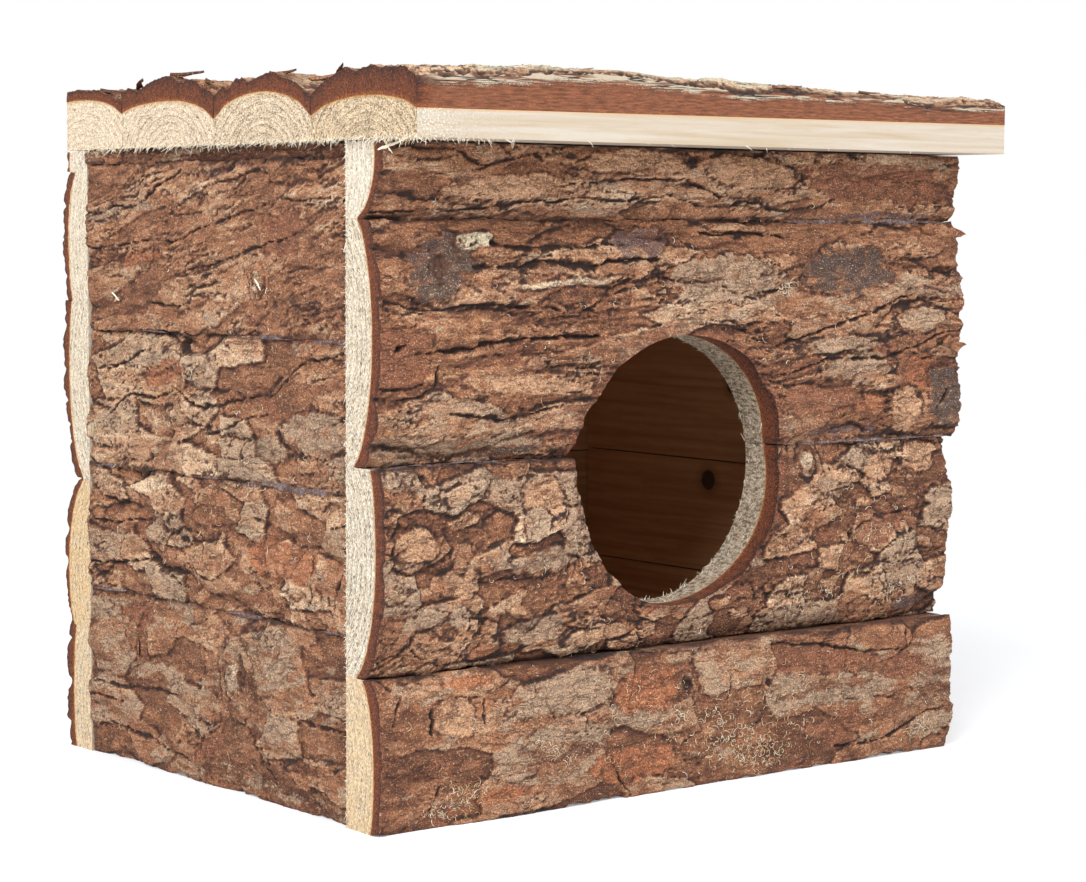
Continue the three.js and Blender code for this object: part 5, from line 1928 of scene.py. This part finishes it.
def add_floor():
    """A pale floor that keeps the house's shadow and is white to the camera elsewhere."""
    bm = bmesh.new()
    bmesh.ops.create_grid(bm, x_segments=1, y_segments=1, size=6.0)
    floor = new_piece("floor", bm)

    def build(graph):
        seen = graph.node("ShaderNodeLightPath").outputs["Is Camera Ray"]
        shader = graph.node("ShaderNodeBsdfPrincipled",
                            {"Base Color": wood_colours().floor, "Roughness": 0.9,
                                                         "Specular IOR Level": 0.1})
        lift = graph.node("ShaderNodeEmission", {"Color": (0.93, 0.96, 1.0, 1.0),
                                                 "Strength": graph.times(seen, 0.25)})
        both = graph.node("ShaderNodeAddShader", {0: shader.outputs[0], 1: lift.outputs[0]})
        white = graph.node("ShaderNodeEmission", {"Color": (1.0, 1.0, 1.0, 1.0), "Strength": 1.0})
        middle = graph.node("ShaderNodeTexCoord").outputs["Object"]
        away = graph.node("ShaderNodeVectorMath", {0: middle, 1: (0.0, 0.0, 0.0)},
                          operation="DISTANCE").outputs["Value"]
        far = graph.times(graph.between(away, 0.16, 0.42), seen)
        shown = graph.node("ShaderNodeMixShader", {0: far, 1: both.outputs[0], 2: white.outputs[0]})
        graph.node("ShaderNodeOutputMaterial", {"Surface": shown.outputs[0]})

    floor.data.materials.append(named_material("White floor", build))


def add_lights():
    """A white room with one soft lamp above and to the left, and a weaker one on the right."""
    world = bpy.data.worlds.new("White room")
    bpy.context.scene.world = world
    world.use_nodes = True
    graph = Graph(world.node_tree)
    seen = graph.node("ShaderNodeLightPath")
    direct = graph.math("MAXIMUM", seen.outputs["Is Camera Ray"],
                        graph.math("MAXIMUM", seen.outputs["Is Glossy Ray"],
                                   seen.outputs["Is Transmission Ray"]))
    strength = graph.between(direct, 0.0, 1.0, 0.62, 1.0)
    back = graph.node("ShaderNodeBackground", {"Color": (1.0, 1.0, 1.0, 1.0), "Strength": strength})
    graph.node("ShaderNodeOutputWorld", {"Surface": back.outputs[0]})
    for name, place, size, power in (
        ("key lamp", (-1.1, -0.7, 1.0), 0.8, 21.0),
        ("fill lamp", (0.5, -1.1, 0.7), 1.0, 7.0),
    ):
        lamp = bpy.data.lights.new(name, "AREA")
        lamp.shape = "DISK"
        lamp.size = size
        lamp.energy = power
        thing = bpy.data.objects.new(name, lamp)
        bpy.context.scene.collection.objects.link(thing)
        thing.location = place
        thing.rotation_euler = (Vector((0, 0, 0.06)) - Vector(place)).to_track_quat("-Z", "Y").to_euler()


def add_camera():
    """The photograph's camera: where it stands, which way it looks and its lens."""
    yaw, pitch, roll = (math.radians(turn) for turn in (38.294, 4.471, -0.247))
    ahead = Vector((math.sin(yaw) * math.cos(pitch), math.cos(yaw) * math.cos(pitch), -math.sin(pitch)))
    level = Vector((math.cos(yaw), -math.sin(yaw), 0))
    down = ahead.cross(level)
    right = math.cos(roll) * level + math.sin(roll) * down
    lower = math.cos(roll) * down - math.sin(roll) * level
    data = bpy.data.cameras.new("camera")
    data.lens, data.sensor_width = 90.18, 36.0
    data.clip_start, data.clip_end = 0.01, 20.0
    camera = bpy.data.objects.new("camera", data)
    bpy.context.scene.collection.objects.link(camera)
    camera.matrix_world = Matrix.Translation((-0.3637, -0.46578, 0.11401)) @ Matrix(
        (right, -lower, -ahead)).transposed().to_4x4()
    bpy.context.scene.camera = camera


OPERATORS = (HOUSE_OT_wood, HOUSE_OT_bark, HOUSE_OT_glue, HOUSE_OT_fibres, HOUSE_OT_splinters,
             HOUSE_OT_stage)


class HOUSE_PT_panel(bpy.types.Panel):
    """Lists the house's operators and settings in the 3D view's sidebar."""

    bl_label = "Hamster House"
    bl_idname = "HOUSE_PT_panel"
    bl_space_type = "VIEW_3D"
    bl_region_type = "UI"
    bl_category = "House"

    def draw(self, context):
        for group in (context.scene.house_sizes, context.scene.bark_colours, context.scene.wood_colours):
            box = self.layout.box()
            for key in group.__annotations__:
                box.prop(group, key)
        for operator in OPERATORS:
            self.layout.operator(operator.bl_idname)


GROUPS = {"house_sizes": HouseSizes, "bark_colours": BarkColours, "wood_colours": WoodColours}


def register():
    for cls in (*GROUPS.values(), *OPERATORS, HOUSE_PT_panel):
        bpy.utils.register_class(cls)
    for name, group in GROUPS.items():
        setattr(bpy.types.Scene, name, PointerProperty(type=group))


def unregister():
    for name in GROUPS:
        delattr(bpy.types.Scene, name)
    for cls in (HOUSE_PT_panel, *reversed(OPERATORS), *reversed(GROUPS.values())):
        bpy.utils.unregister_class(cls)


def main():
    register()
    bpy.ops.house.wood()
    bpy.ops.house.bark()
    bpy.ops.house.glue()
    bpy.ops.house.fibres()
    bpy.ops.house.splinters()
    bpy.ops.house.stage()


if __name__ == "__main__":
    main()
